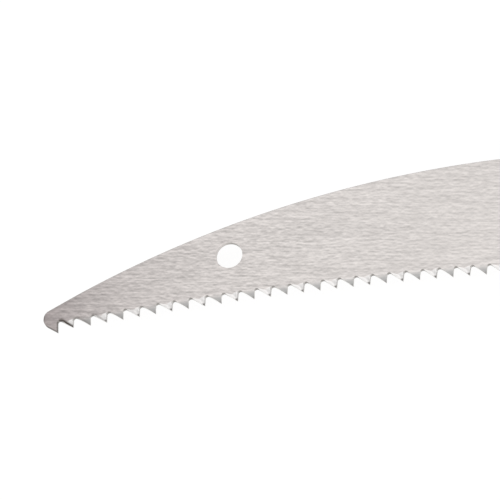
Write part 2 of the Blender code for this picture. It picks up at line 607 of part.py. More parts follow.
# Washers and wing nut on the threaded end of the bolt.
turned("flat_washer", ring(BOLT_RADIUS + DRILL, FLAT_WASHER_RADIUS, FLAT_WASHER_THICKNESS, SEAT * 2), zinc_steel,
       (0, 0, FLAT_WASHER_Z), closed=True, steps=32)
spring = turned("spring_washer", ring(BOLT_RADIUS + DRILL, SPRING_WASHER_RADIUS, SPRING_WASHER_HEIGHT), zinc_steel,
                (0, 0, SPRING_WASHER_Z), closed=True, steps=32)
split = box_mesh("spring_split", (SPRING_WASHER_RADIUS * 2, SPRING_WASHER_GAP, SPRING_WASHER_HEIGHT * 4),
                 (SPRING_WASHER_RADIUS, 0, 0))
split_cutter = cutter("spring_split", split, (0, 0, SPRING_WASHER_Z + SPRING_WASHER_HEIGHT / 2))
split_cutter.rotation_euler = (radians(20.0), 0.0, radians(-70.0))
combine(spring, split_cutter)

hub_top = NUT_HUB_RADIUS * 0.84
hub = turned("wing_nut", [(hub_top - 2 * DRILL, NUT_HUB_HEIGHT), (hub_top, NUT_HUB_HEIGHT - 2 * DRILL),
                          (NUT_HUB_RADIUS, 2 * DRILL), (NUT_HUB_RADIUS - 2 * DRILL, 0.0),
                          (BOLT_RADIUS + RUNNING, 0.0), (BOLT_RADIUS + RUNNING, NUT_HUB_HEIGHT)],
             zinc_steel, (0, 0, NUT_Z), closed=True, steps=32)
hub.rotation_euler = (0.0, 0.0, radians(25.0))
wing_inside = (BOLT_RADIUS + RUNNING + hub_top) / 2
wing_size = Matrix.Diagonal((NUT_WING_LENGTH / 2, NUT_WING_WIDTH / 2, NUT_WING_THICKNESS, 1.0))
leaning = Matrix.Rotation(-NUT_WING_LEAN, 4, "Y") @ Matrix.Rotation(pi / 2, 4, "X")
wing_centre = Matrix.Translation((wing_inside + cos(NUT_WING_LEAN) * NUT_WING_LENGTH / 2, 0.0,
                                  NUT_WING_FOOT + sin(NUT_WING_LEAN) * NUT_WING_LENGTH / 2))
for name, turn in (("wing_right", 0.0), ("wing_left", pi)):
    bm = bmesh.new()
    bmesh.ops.create_cone(bm, cap_ends=True, segments=26, radius1=1.0, radius2=1.0, depth=1.0,
                          matrix=Matrix.Rotation(turn, 4, "Z") @ wing_centre @ leaning @ wing_size)
    wing_mesh = bpy.data.meshes.new(name)
    bm.to_mesh(wing_mesh)
    bm.free()
    wing = cutter(name, wing_mesh, (0, 0, NUT_Z))
    wing.rotation_euler = hub.rotation_euler
    edge_round = wing.modifiers.new("rounding", "BEVEL")
    edge_round.width = NUT_WING_THICKNESS / 4
    edge_round.segments = 2
    edge_round.limit_method = "ANGLE"
    edge_round.angle_limit = radians(60.0)
    combine(hub, wing, "UNION")

# The middle of the footprint becomes the origin.
bpy.context.view_layer.update()
depsgraph = bpy.context.evaluated_depsgraph_get()
corners = []
for piece in saw.objects:
    if piece.type == "MESH":
        solid = piece.evaluated_get(depsgraph)
        corners += [solid.matrix_world @ Vector(corner) for corner in solid.bound_box]
low = Vector([min(corner[axis] for corner in corners) for axis in range(3)])
high = Vector([max(corner[axis] for corner in corners) for axis in range(3)])
frame.location = (-(low.x + high.x) / 2, -(low.y + high.y) / 2, -low.z)
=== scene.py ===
"""Folding pruning saw, lying open on its side, dressed for the picture.

Pieces are worked out in millimetres about the pivot's axis, with heights from
the ground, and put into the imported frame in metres.
"""

import bmesh
import bpy
import numpy as np
from mathutils import Matrix, Vector


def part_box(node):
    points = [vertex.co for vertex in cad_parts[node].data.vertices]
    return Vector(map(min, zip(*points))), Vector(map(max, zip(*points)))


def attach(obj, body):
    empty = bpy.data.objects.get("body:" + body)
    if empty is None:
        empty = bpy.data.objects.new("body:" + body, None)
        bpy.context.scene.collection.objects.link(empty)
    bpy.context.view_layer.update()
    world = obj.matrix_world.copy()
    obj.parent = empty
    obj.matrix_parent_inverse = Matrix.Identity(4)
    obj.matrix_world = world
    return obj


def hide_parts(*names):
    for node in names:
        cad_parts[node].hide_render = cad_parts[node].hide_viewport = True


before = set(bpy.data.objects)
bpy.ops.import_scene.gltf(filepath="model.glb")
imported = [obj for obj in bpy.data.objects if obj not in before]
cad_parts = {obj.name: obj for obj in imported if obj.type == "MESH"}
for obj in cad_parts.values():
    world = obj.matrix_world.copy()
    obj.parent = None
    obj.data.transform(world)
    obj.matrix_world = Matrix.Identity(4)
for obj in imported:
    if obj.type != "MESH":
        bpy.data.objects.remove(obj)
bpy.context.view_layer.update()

# Grip scales. Two slabs of oiled hardwood, sawn to the outline of a hand, rounded
# over on the outside and let in for the brass plates and the fastener heads. They
# are clamped on the liners by the four through fasteners.
MM = 0.001
SCALE_THICKNESS = 8.0
SCALE_BOTTOMS = {"lower_scale": 0.0, "upper_scale": 13.6}
ROUNDING, INNER_BREAK, FACE_LAND = 3.5, 0.25, 0.05
FRONT_RADIUS, FRONT_END = 15.8, 262.0
BUTT_START, HANDLE_END = 222.8, 247.8
SPINE_DROP, SPINE_STOP = 10.8, 18.75
BELLY, WAIST = (99.0, -25.0), (HANDLE_END - 79.0, -23.0)
HOOK, BUTT = (HANDLE_END - 22.5, -31.0), (HANDLE_END, -15.5)
AXIS = [(0.0, 0.0)]
FASTENERS = np.array([(64.0, 7.51), (118.0, 5.38), (172.0, 1.97), (232.8, -19.2)])
LANYARD = np.array([(234.3, -6.8)])
PLATE_SCREWS = np.array([(-9.4, 0.0), (9.4, 0.0)])
PLATE_POCKET, PLATE_POCKET_DEPTH = 13.15, 2.1
HEAD_POCKET, HEAD_POCKET_DEPTH = 3.9, 1.9
BOLT_HOLES = {"lower_scale": 5.3, "upper_scale": 3.3}
BARREL_HOLE, LANYARD_HOLE = 2.45, 5.15
PILOT_HOLE, PILOT_DEPTH = 1.15, 7.35
OVERRUN = 1.0  # how far a drill runs on into the air
SHARP = 32.0  # the angle between faces, in degrees, past which an edge shows
WELD = 5000  # steps to a millimetre: points that share a step become one
sleeve_low, sleeve_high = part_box("pivot_sleeve")
PIVOT = np.array(((sleeve_low + sleeve_high) / 2)[:2] + (0.0,))


def bend(start, way_out, end, way_in, steps):
    """A cubic Bezier edge without its last point: each handle is 0.38 of the straight distance long."""
    start, way_out, end, way_in = (np.asarray(value, float) for value in (start, way_out, end, way_in))
    reach = 0.38 * np.linalg.norm(end - start)
    t = np.linspace(0.0, 1.0, steps, endpoint=False)[:, None]
    one, two = start + way_out * reach, end - way_in * reach
    return (1 - t) ** 3 * start + 3 * (1 - t) ** 2 * t * one + 3 * (1 - t) * t ** 2 * two + t ** 3 * end


def circle(radius, angles):
    """Points at a radius and at angles in degrees."""
    angles = np.radians(angles)
    return np.stack([radius * np.cos(angles), radius * np.sin(angles)], -1)


def closed_circle(steps):
    """Points of a circle of radius 1, of which the last is the first again."""
    ring = circle(1.0, np.linspace(0.0, 360.0, steps + 1))
    ring[-1] = ring[0]
    return ring


def inward(outline):
    """Unit vectors to the left of a closed outline, square to the line between a point's neighbours."""
    way = np.roll(outline, -1, 0) - np.roll(outline, 1, 0)
    way /= np.linalg.norm(way, axis=1, keepdims=True)
    return np.stack([-way[:, 1], way[:, 0]], -1)


def skin(name, sheets, finishes, caps=(), marks=None, sharp=SHARP):
    """Joins grids of points (rows, columns, xyz in millimetres) into one mesh in metres.

    Points that fall together become one vertex, squares that lose a corner become
    triangles, and faces are turned outwards. A sheet is a pair of its grid and the
    number of its finish. A cap is a loop of points that is filled by one face. Marks
    are attributes, each a list of arrays with a value for every point of the sheets.
    """
    grids = [grid for grid, slot in sheets] + [cap[None] for cap in caps]
    starts = np.cumsum([0] + [grid.shape[0] * grid.shape[1] for grid in grids])
    points = np.concatenate([grid.reshape(-1, 3) for grid in grids])
    quads, slots = [], []
    for (grid, slot), start in zip(sheets, starts):
        number = start + np.arange(grid.shape[0] * grid.shape[1]).reshape(grid.shape[:2])
        square = np.stack([number[:-1, :-1], number[1:, :-1], number[1:, 1:], number[:-1, 1:]], -1)
        quads.append(square.reshape(-1, 4))
        slots.append(np.full(len(quads[-1]), slot))
    first, merged = np.unique(np.round(points * WELD).astype(np.int64), axis=0,
                              return_index=True, return_inverse=True)[1:]
    merged = merged.reshape(-1)
    quads, slots = merged[np.concatenate(quads)], np.concatenate(slots)
    twins = quads == np.roll(quads, -1, 1)
    whole = (twins.sum(1) == 0) & (quads[:, 0] != quads[:, 2]) & (quads[:, 1] != quads[:, 3])
    corner = twins.sum(1) == 1
    triangles = quads[corner][~twins[corner]].reshape(-1, 3)
    loops = [merged[start:start + len(cap)].tolist() for cap, start in zip(caps, starts[len(sheets):])]
    mesh = bpy.data.meshes.new(name)
    mesh.from_pydata(points[first] * MM + PIVOT, [], quads[whole].tolist() + triangles.tolist() + loops)
    slots = np.concatenate([slots[whole], slots[corner], np.zeros(len(loops), int)])
    mesh.polygons.foreach_set("material_index", slots.astype(np.int32))
    for key, values in (marks or {}).items():
        values = np.concatenate([np.ravel(value) for value in values])
        mark = mesh.attributes.new(key, "FLOAT", "POINT")
        mark.data.foreach_set("value", values[first].astype(np.float32))
    turned_out = bmesh.new()
    turned_out.from_mesh(mesh)
    bmesh.ops.recalc_face_normals(turned_out, faces=turned_out.faces)
    turned_out.to_mesh(mesh)
    turned_out.free()
    return put(name, mesh, finishes, sharp)


def put(name, mesh, finishes, sharp):
    """Links a mesh as an object at the origin, smooth where faces meet at less than the sharp angle."""
    for coat in finishes:
        mesh.materials.append(coat)
    mesh.polygons.foreach_set("use_smooth", np.ones(len(mesh.polygons), bool))
    mesh.set_sharp_from_angle(angle=np.radians(sharp))
    made = bpy.data.objects.new(name, mesh)
    bpy.context.scene.collection.objects.link(made)
    return made


def at_heights(flat, heights):
    """Rows of flat points, each row raised to its own height."""
    heights = np.reshape(heights, (-1, 1, 1))
    return np.concatenate([flat, np.broadcast_to(heights, flat.shape[:2] + (1,))], -1)


def lathe(profile, spots=AXIS, steps=64):
    """Turns a profile of (radius, height) pairs once round each spot: one grid a spot, height by angle."""
    profile, ring = np.asarray(profile, float), closed_circle(steps)
    flat = profile[:, None, :1] * ring
    return [at_heights(flat + spot, profile[:, 1]) for spot in np.asarray(spots, float)]


def walled(name, loops, finishes):
    """A closed piece from loops of points above each other: a wall through them, and a face at each end."""
    closed = np.concatenate([loops, loops[:, :1]], 1)
    return skin(name, [(closed, 0)], finishes, caps=(loops[0], loops[-1]))


def slab(name, outline, edge, coat):
    """A flat piece cut to an outline, whose wall goes through pairs of (inset, height)."""
    flat = outline + inward(outline) * edge[:, None, :1]
    return walled(name, at_heights(flat, edge[:, 1]), [coat])


def carve(piece, bit):
    """Takes a closed piece out of another one and removes it."""
    cut = piece.modifiers.new("carve", "BOOLEAN")
    cut.solver, cut.object = "MANIFOLD", bit
    carved = bpy.data.meshes.new_from_object(piece.evaluated_get(bpy.context.evaluated_depsgraph_get()))
    piece.modifiers.clear()
    piece.data = carved
    carved.set_sharp_from_angle(angle=np.radians(SHARP))
    bpy.data.objects.remove(bit, do_unlink=True)


def plug(radius, low, high):
    """Profile of a closed plain cylinder."""
    return [(0.0, low), (radius, low), (radius, high), (0.0, high)]


def drill(piece, profiles):
    """Takes closed turned shapes, given as (profile, spots), out of a piece, one kind after the other."""
    for profile, spots in profiles:
        carve(piece, skin("bit", [(grid, 0) for grid in lathe(profile, spots)], []))


def carried(piece, node_name, body):
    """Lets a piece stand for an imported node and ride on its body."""
    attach(piece, body)
    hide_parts(node_name)


def linear(colour):
    """An sRGB hex colour as linear red, green, blue and alpha.

    A part c becomes c / 12.92 up to 0.04045, and ((c + 0.055) / 1.055) ^ 2.4 above it.
    """
    parts = [int(colour[i:i + 2], 16) / 255 for i in (1, 3, 5)]
    return [c / 12.92 if c <= 0.04045 else ((c + 0.055) / 1.055) ** 2.4 for c in parts] + [1.0]


def every(*sizes):
    """A pattern's scale from the real size of its marks in millimetres: one over each size in metres."""
    scales = [1 / (size * MM) for size in sizes]
    return scales if len(scales) > 1 else scales[0]


def feed(tree, node, inputs):
    """Fills a node's inputs, by name or number, with constants, sockets or other nodes' first results."""
    for key, value in inputs.items():
        if isinstance(value, bpy.types.Node):
            value = next(socket for socket in value.outputs if socket.enabled)
        if isinstance(value, bpy.types.NodeSocket):
            tree.links.new(value, node.inputs[key])
        else:
            node.inputs[key].default_value = value


def add(tree, kind, inputs=None, **settings):
    """Adds a node, sets its properties and feeds its inputs."""
    made = tree.nodes.new("ShaderNode" + kind)
    for key, value in settings.items():
        setattr(made, key, value)
    feed(tree, made, inputs or {})
    return made


def finish(name, metallic=1.0):
    """A new material, with its node tree, its shader and the places that its patterns follow."""
    material = bpy.data.materials.new(name)
    material.use_nodes = True
    tree = material.node_tree
    shader = tree.nodes["Principled BSDF"]
    shader.inputs["Metallic"].default_value = metallic
    return material, tree, shader, add(tree, "TexCoord").outputs["Object"]


# Oiled ash or beech: honey brown, with growth rings about 3 mm apart that run along
# the handle, short dark pores, and a dull sheen that follows the fibres. The rings are
# a sine of the distance from a pith outside the handle, which a slow noise bows.
oiled_hardwood, tree, shader, where = finish("oiled_hardwood", 0.0)
slow = add(tree, "Mapping", {"Vector": where, "Scale": every(90.0, 16.0, 16.0)})
drift = add(tree, "TexNoise", {"Vector": slow, "Scale": 1.0, "Detail": 2.0})
pith = add(tree, "Mapping", {"Vector": where, "Location": (0.0, 41 * MM, 30 * MM),
                             "Scale": (0.035, 1.0, 1.0)})
away = add(tree, "VectorMath", {0: pith}, operation="LENGTH")
bowed = add(tree, "Math", {0: drift, 1: 20 * MM, 2: away}, operation="MULTIPLY_ADD")
ring = add(tree, "Math", {0: bowed, 1: 2 * np.pi * every(3.0)}, operation="MULTIPLY")
wave = add(tree, "Math", {0: ring}, operation="SINE")
late = add(tree, "MapRange", {0: wave, 1: -0.2, 2: 1.0, 3: 0.0, 4: 1.0}, interpolation_type="SMOOTHSTEP")
fibre_map = add(tree, "Mapping", {"Vector": where, "Scale": every(14.0, 0.7, 0.7)})
fibre = add(tree, "TexNoise", {"Vector": fibre_map, "Scale": 1.0, "Detail": 3.0})
pore_map = add(tree, "Mapping", {"Vector": where, "Scale": every(5.5, 0.55, 0.55)})
pore = add(tree, "TexNoise", {"Vector": pore_map, "Scale": 1.0, "Detail": 1.0})
pores = add(tree, "MapRange", {0: pore, 1: 0.62, 2: 0.74, 3: 0.0, 4: 0.55})
early_late = add(tree, "Mix", {0: late, 6: linear("#B98650"), 7: linear("#8E5B2F")}, data_type="RGBA")
fibred = add(tree, "MapRange", {0: fibre, 1: 0.25, 2: 0.75, 3: 0.72, 4: 1.22})
stained = add(tree, "VectorMath", {0: early_late, 3: fibred}, operation="SCALE")
pored = add(tree, "Mix", {0: pores, 6: stained, 7: linear("#4A2C15")}, data_type="RGBA")
patch = add(tree, "TexNoise", {"Vector": where, "Scale": every(45.0), "Detail": 1.0})
handled = add(tree, "MapRange", {0: patch, 1: 0.3, 2: 0.7, 3: 0.86, 4: 1.10})
worn = add(tree, "VectorMath", {0: pored, 3: handled}, operation="SCALE")
sheen = add(tree, "MapRange", {0: fibre, 1: 0.2, 2: 0.8, 3: 0.36, 4: 0.58})
relief = add(tree, "Math", {0: pores, 1: -1.4, 2: fibre}, operation="MULTIPLY_ADD")
raised = add(tree, "Bump", {"Strength": 0.35, "Distance": 0.2 * MM, "Height": relief})
feed(tree, shader, {"Base Color": worn, "Roughness": sheen, "Normal": raised,
                    "Coat Weight": 0.12, "Coat Roughness": 0.35})

LENGTHWISE, CROSSWISE = (1, 0), (0, 1)
spine_radius = (BUTT_START ** 2 + SPINE_DROP ** 2) / (2 * SPINE_DROP)
spine_x = np.linspace(HANDLE_END - SPINE_STOP, 0.0, 120, endpoint=False)
spine = np.stack([spine_x, FRONT_RADIUS - spine_radius + np.sqrt(spine_radius ** 2 - spine_x ** 2)], -1)
spine_way = np.array([spine_radius, -spine_x[0]]) / np.hypot(spine_radius, spine_x[0])
front = circle(FRONT_RADIUS, np.linspace(90.0, FRONT_END, 64))
mouth_way = np.array([-front[-1, 1], front[-1, 0]]) / FRONT_RADIUS
outline = np.concatenate([
    front[:-1],
    bend(front[-1], mouth_way, BELLY, LENGTHWISE, 40),
    bend(BELLY, LENGTHWISE, WAIST, LENGTHWISE, 30),
    bend(WAIST, LENGTHWISE, HOOK, LENGTHWISE, 40),
    bend(HOOK, LENGTHWISE, BUTT, CROSSWISE, 30),
    bend(BUTT, CROSSWISE, spine[0], -spine_way, 30),
    spine])
turn = np.radians(np.linspace(0.0, 90.0, 13))
edge = np.concatenate([
    [(INNER_BREAK, 0.0), (0.0, INNER_BREAK)],
    np.stack([ROUNDING * (1 - np.cos(turn)), SCALE_THICKNESS - ROUNDING + ROUNDING * np.sin(turn)], -1),
    [(ROUNDING + FACE_LAND, SCALE_THICKNESS)]])
for node_name, bottom in SCALE_BOTTOMS.items():
    upper = node_name == "upper_scale"
    outside, inside = (bottom + SCALE_THICKNESS, bottom) if upper else (bottom, bottom + SCALE_THICKNESS)
    out = 1 if upper else -1
    scale = slab("grip_" + node_name, outline, edge * (1, out) + (0, inside), oiled_hardwood)
    before, beyond = inside - out * OVERRUN, outside + out * OVERRUN
    drill(scale, [(plug(PLATE_POCKET, outside - out * PLATE_POCKET_DEPTH, beyond), AXIS),
                  (plug(HEAD_POCKET, outside - out * HEAD_POCKET_DEPTH, beyond), FASTENERS),
                  (plug(BOLT_HOLES[node_name], before, outside), AXIS),
                  (plug(BARREL_HOLE, before, outside), FASTENERS),
                  (plug(LANYARD_HOLE, before, beyond), LANYARD),
                  (plug(PILOT_HOLE, outside - out * PILOT_DEPTH, outside), PLATE_SCREWS)])
    carried(scale, node_name, "handle")

# Liners. Two plates of cold rolled steel, blanked to the outline a little inside the
# wood, that form the sides of the blade's slot. The lower one has a square hole that
# keeps the bolt from turning.
LINER_BOTTOMS = {"lower_liner": 8.1, "upper_liner": 12.3}
LINER_THICKNESS, LINER_INSET, LINER_BREAK = 1.2, 0.2, 0.12
BOLT_HOLE, NECK_HOLE = 3.15, 6.7
PIN_PLAY = 0.1
pin_low, pin_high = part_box("stop_pin")
STOP_PIN = [(np.array((pin_low + pin_high) / 2) - PIVOT)[:2] / MM]
PIN_HOLE = (pin_high - pin_low)[0] / 2 / MM + PIN_PLAY


def blanked_wall(thickness):
    """Wall of a blanked sheet, as pairs of (inset, height): upright, with both edges broken."""
    return np.array([(LINER_INSET + LINER_BREAK, 0.0), (LINER_INSET, LINER_BREAK),
                     (LINER_INSET, thickness - LINER_BREAK), (LINER_INSET + LINER_BREAK, thickness)])


def mill(piece, spot, turn, length, width, floor, over):
    """Cuts a square-cornered hole or slot, centred on a spot, at a turn in degrees, between two heights."""
    along, across = circle(length / 2, turn), circle(width / 2, turn + 90.0)
    loop = spot + np.stack([along + across, across - along, -along - across, along - across])
    carve(piece, walled("bit", at_heights(np.stack([loop, loop]), (floor, over)), []))


# Cold rolled steel: a mid grey with fine lines along the sheet and darker spots of oil.
rolled_steel, tree, shader, where = finish("cold_rolled_steel")
rolled = add(tree, "Mapping", {"Vector": where, "Scale": every(20.0, 0.9, 0.9)})
lines = add(tree, "TexNoise", {"Vector": rolled, "Scale": 1.0, "Detail": 3.0})
spots = add(tree, "TexNoise", {"Vector": where, "Scale": every(6.0), "Detail": 4.0})
shade = add(tree, "Math", {0: spots, 1: 0.6, 2: lines}, operation="MULTIPLY_ADD")
tone = add(tree, "MapRange", {0: shade, 1: 0.55, 2: 1.05, 3: 0.0, 4: 1.0})
grey = add(tree, "Mix", {0: tone, 6: linear("#8C8A86"), 7: linear("#BDBBB6")}, data_type="RGBA")
dull = add(tree, "MapRange", {0: shade, 1: 0.5, 2: 1.1, 3: 0.50, 4: 0.34})
scored = add(tree, "Bump", {"Strength": 0.25, "Distance": 0.05 * MM, "Height": lines})
feed(tree, shader, {"Base Color": grey, "Roughness": dull, "Normal": scored})

for node_name, bottom in LINER_BOTTOMS.items():
    liner = slab(node_name + "_blanked", outline, blanked_wall(LINER_THICKNESS) + (0.0, bottom), rolled_steel)
    low, high = bottom - OVERRUN, bottom + LINER_THICKNESS + OVERRUN
    drill(liner, [(plug(PIN_HOLE, low, high), STOP_PIN),
                  (plug(LANYARD_HOLE, low, high), LANYARD),
                  (plug(BARREL_HOLE, low, high), FASTENERS)])
    if node_name == "upper_liner":
        drill(liner, [(plug(BOLT_HOLE, low, high), AXIS)])
    else:
        mill(liner, np.zeros(2), 0.0, NECK_HOLE, NECK_HOLE, low, high)
    carried(liner, node_name, "handle")

# Spacers, stop pin and sleeve. Zinc plated steel: a strip along the spine and a block
# at the butt hold the slot open, the pin stops the tang, and the blade turns on the
# sleeve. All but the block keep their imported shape.
SPACER_BOTTOM, SPACER_THICKNESS = 9.4, 2.8


def refinish(coat, *node_names):
    """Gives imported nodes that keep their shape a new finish."""
    for node_name in node_names:
        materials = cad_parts[node_name].data.materials
        materials.clear()
        materials.append(coat)


# Bright zinc plate: bluish white, faintly mottled by the bath, with straw coloured patches.
zinc_plate, tree, shader, where = finish("bright_zinc_plate")
bath = add(tree, "TexNoise", {"Vector": where, "Scale": every(3.5), "Detail": 4.0})
cloud = add(tree, "TexNoise", {"Vector": where, "Scale": every(11.0), "Detail": 2.0})
bluish = add(tree, "MapRange", {0: bath, 1: 0.3, 2: 0.7, 3: 0.0, 4: 1.0})
plated = add(tree, "Mix", {0: bluish, 6: linear("#AEB4B9"), 7: linear("#D3D7DA")}, data_type="RGBA")
tinge = add(tree, "MapRange", {0: cloud, 1: 0.50, 2: 0.72, 3: 0.0, 4: 0.45})
straw = add(tree, "Mix", {0: tinge, 6: plated, 7: linear("#C9C2A6")}, data_type="RGBA")
gloss = add(tree, "MapRange", {0: bath, 1: 0.3, 2: 0.7, 3: 0.40, 4: 0.22})
orange_peel = add(tree, "Bump", {"Strength": 0.15, "Distance": 0.1 * MM, "Height": bath})
feed(tree, shader, {"Base Color": straw, "Roughness": gloss, "Normal": orange_peel})
refinish(zinc_plate, "back_spacer", "stop_pin", "pivot_sleeve")

# The block follows the outline behind its straight front.
behind = np.flatnonzero(outline[:, 0] > BUTT_START)
ends = outline[[behind[0] - 1, behind[0], behind[-1], behind[-1] + 1]]
corners = [(BUTT_START, np.interp(BUTT_START, pair[:, 0], pair[:, 1])) for pair in (ends[:2], ends[:1:-1])]
block_outline = np.concatenate([corners[:1], outline[behind], corners[1:]])
block_wall = blanked_wall(SPACER_THICKNESS) + (0.0, SPACER_BOTTOM)
block = slab("butt_spacer_block", block_outline, block_wall, zinc_plate)
low, high = SPACER_BOTTOM - OVERRUN, SPACER_BOTTOM + SPACER_THICKNESS + OVERRUN
drill(block, [(plug(LANYARD_HOLE, low, high), LANYARD), (plug(BARREL_HOLE, low, high), FASTENERS[-1:])])
carried(block, "butt_spacer", "handle")

# Friction washers. Thin rings of bearing bronze each side of the tang, stamped from
# sheet, that let the blade turn on its sleeve while the nut is tight. The bronze is a
# reddish brown, mottled in patches about 4 mm wide.
bearing_bronze, tree, shader, where = finish("bearing_bronze")
mottle = add(tree, "TexNoise", {"Vector": where, "Scale": every(4.0), "Detail": 4.0})
mottled = add(tree, "Mix", {0: mottle, 6: linear("#8A5A2C"), 7: linear("#D2A066")}, data_type="RGBA")
feed(tree, shader, {"Base Color": mottled, "Roughness": 0.4})
refinish(bearing_bronze, "friction_washer_lower", "friction_washer_upper")

# Blade. Spring steel sheet 1.2 mm thick, blanked to a bowed back and a hollow tooth
# line, ground lengthwise, then toothed six to the inch. Every second tooth is set
# up and ground on top, the others are set down and ground below.
BLADE_BOTTOM, BLADE_THICKNESS = 10.2, 1.2
REACH = 217.8
BACK_RADIUS, BACK_APEX = 275.5, np.array([-68.6, 20.0])
LINE_RADIUS, LINE_APEX = 855.0, np.array([-38.7, -10.45])
PITCH, TEETH = 25.4 / 6, 45
FIRST_TOOTH = 4.0
TOE_TIPS = np.array([(-0.12, -0.20), (-0.20, 0.25)])  # how far the first two tips are off, along and up
FACE_RAKE, BACK_ANGLE = np.radians(6.0), np.radians(39.0)
GULLET_RADIUS, GULLET_STEPS = 0.6, 12
NOSE_RADIUS, NOSE_STEPS = 2.2, 10
TANG_RADIUS, OPEN_SHOULDER, FOLD_SHOULDER = 8.3, 2.337, -118.54
HOLES = [(np.array([-171.2, -8.12]), 3.4), (np.array([0.0, 0.0]), 4.6)]  # hang hole and sleeve hole
TOUCHING = 0.002  # square millimetres by which a spoke may miss a hole and still touch it
COLUMN_STEP, END_MARGIN = 0.25, 0.001
TOOTH_ROWS, PLATE_ROWS = 13, 5
ROOT_STEP, BACK_STRIP, EDGE_BREAK = 0.12, 0.35, 0.1
TOOTH_SET, DEEPEST = 0.4, 1.15
FRONT_GRIND, BACK_GRIND, GRIND_SLOPE = 1.1, 1.45, 0.85
GRIND_MEET, GRIND_ROUND, GRIND_LIMIT = 0.3, 0.25, 0.8
# Painted shade on the backs of the first teeth: its strength, its fade and its end, in millimetres from the
# toe.
BACK_SHADE_STRENGTH, BACK_SHADE_FADE, BACK_SHADE_END = 1.35, 10.0, 40.0
ON_BACK = 0.05
GROUND, BLANKED, DRILLED = 0, 1, 2  # the blade's finishes, in the order that its mesh lists them


def unit(vectors):
    """Vectors divided by their lengths."""
    return vectors / np.linalg.norm(vectors, axis=-1, keepdims=True)


def cross(a, b):
    """The turn from a to b: ax times by less ay times bx."""
    return a[..., 0] * b[..., 1] - a[..., 1] * b[..., 0]


def rounds(before, corner, after, radius, steps):
    """Rounds at corners: an arc about the point on the bisector that is radius / sin(half the angle) away."""
    first, second = unit(before - corner), unit(after - corner)
    half = np.arccos(np.clip((first * second).sum(-1, keepdims=True), -1, 1)) / 2
    centre = corner + unit(first + second) * radius / np.sin(half)
    start = corner + first * radius / np.tan(half) - centre
    end = corner + second * radius / np.tan(half) - centre
    swing = np.arctan2(cross(start, end), (start * end).sum(-1))[..., None]
    begin = np.arctan2(start[..., 1], start[..., 0])[..., None]
    angle = begin + swing * np.linspace(0.0, 1.0, steps + 1)
    return centre[..., None, :] + radius * np.stack([np.cos(angle), np.sin(angle)], -1)


def back_height(x):
    """Height of the blade's back: a circle's arc about a point one radius below its apex."""
    return BACK_APEX[1] - BACK_RADIUS + np.sqrt(BACK_RADIUS ** 2 - (x - BACK_APEX[0]) ** 2)


def from_centre(points):
    """Distance and direction of points from the centre of the tooth line's circle."""
    out = points - line_centre
    return np.hypot(out[..., 0], out[..., 1]), np.arctan2(out[..., 1], out[..., 0])


def along_line(points):
    """Distance along the tooth line from the first tip, and height above that line."""
    away, bearing = from_centre(points)
    return (line_start - bearing) * LINE_RADIUS, away - LINE_RADIUS


def sides_of(hole, radius, angle):
    """Heights above the tooth line where the spoke at each angle enters and leaves a hole, and if it does."""
    away, bearing = from_centre(hole)
    inside = radius ** 2 - (away * np.sin(angle - bearing)) ** 2
    half = np.sqrt(np.where(inside < TOUCHING, 0.0, inside))
    middle = away * np.cos(angle - bearing) - LINE_RADIUS
    return middle - half, middle + half, inside > -TOUCHING


def spokes_across(hole, radius):
    """Distances along the tooth line of spokes across a hole, closer towards its sides, which they touch."""
    away, bearing = from_centre(hole)
    spread = np.cos(np.radians(np.linspace(0.0, 180.0, 49)))
    return (line_start - bearing - np.arcsin(radius / away) * spread) * LINE_RADIUS


def rows_between(low, high, count):
    """Rows of heights, evenly spaced from one edge to another."""
    return low + np.linspace(0.0, 1.0, count)[:, None] * (high - low)


def share(value, full):
    """A value as a share of the full one, from 0 to 1."""
    return np.clip(value / full, 0.0, 1.0)


def near(distance, full, none):
    """1 up to the full distance from an edge, and then evenly down to 0 at the distance for none."""
    return np.clip((none - distance) / (none - full), 0.0, 1.0)


# The outline: teeth from the toe to the heel, the tang's two shoulders, the back, the nose.
line_centre = LINE_APEX - (0.0, LINE_RADIUS)
line_start = np.pi / 2 - np.arcsin((FIRST_TOOTH - REACH - line_centre[0]) / LINE_RADIUS)
tip_run, tip_rise = np.arange(TEETH + 1) * PITCH, np.zeros(TEETH + 1)
tip_run[:2] += TOE_TIPS[:, 0]
tip_rise[:2] = TOE_TIPS[:, 1]
tip_angle = line_start - tip_run / LINE_RADIUS
tips = line_centre + (LINE_RADIUS + tip_rise)[:, None] * circle(1.0, np.degrees(tip_angle))
face_way = circle(1.0, np.degrees(tip_angle[:-1] - FACE_RAKE))
back_way = circle(1.0, np.degrees(tip_angle[1:] + np.pi / 2 - BACK_ANGLE))
face_length = cross(tips[1:] - tips[:-1], back_way) / cross(face_way, back_way)
corners = tips[:-1] + face_way * face_length[:, None]
gullets = rounds(tips[:-1], corners, tips[1:], GULLET_RADIUS, GULLET_STEPS)
toothed = np.concatenate([tips[:-1, None], gullets], 1).reshape(-1, 2)

nose_way = circle(1.0, np.degrees(tip_angle[0] + np.pi / 2 - BACK_ANGLE))
nose_low = tips[0] + nose_way * (-REACH - tips[0, 0]) / nose_way[0]
nose_high = np.array([-REACH, back_height(-REACH)])
back_near = np.array([4 * NOSE_RADIUS - REACH, back_height(4 * NOSE_RADIUS - REACH)])
nose = np.concatenate([rounds(back_near, nose_high, nose_low, NOSE_RADIUS, NOSE_STEPS),
                       rounds(nose_high, nose_low, tips[0], NOSE_RADIUS, NOSE_STEPS)])
ricasso = tips[-1, 1]
shoulder = circle(ricasso / np.sin(np.radians(FOLD_SHOULDER)), FOLD_SHOULDER)[None]
open_angle = np.degrees(np.arccos(OPEN_SHOULDER / TANG_RADIUS))
tang = circle(TANG_RADIUS, np.linspace(FOLD_SHOULDER, open_angle, 60))
back_x = np.linspace(OPEN_SHOULDER, back_near[0], 150)
back = np.stack([back_x, back_height(back_x)], -1)
loop = np.concatenate([toothed, tips[-1:], shoulder, tang, back, nose])

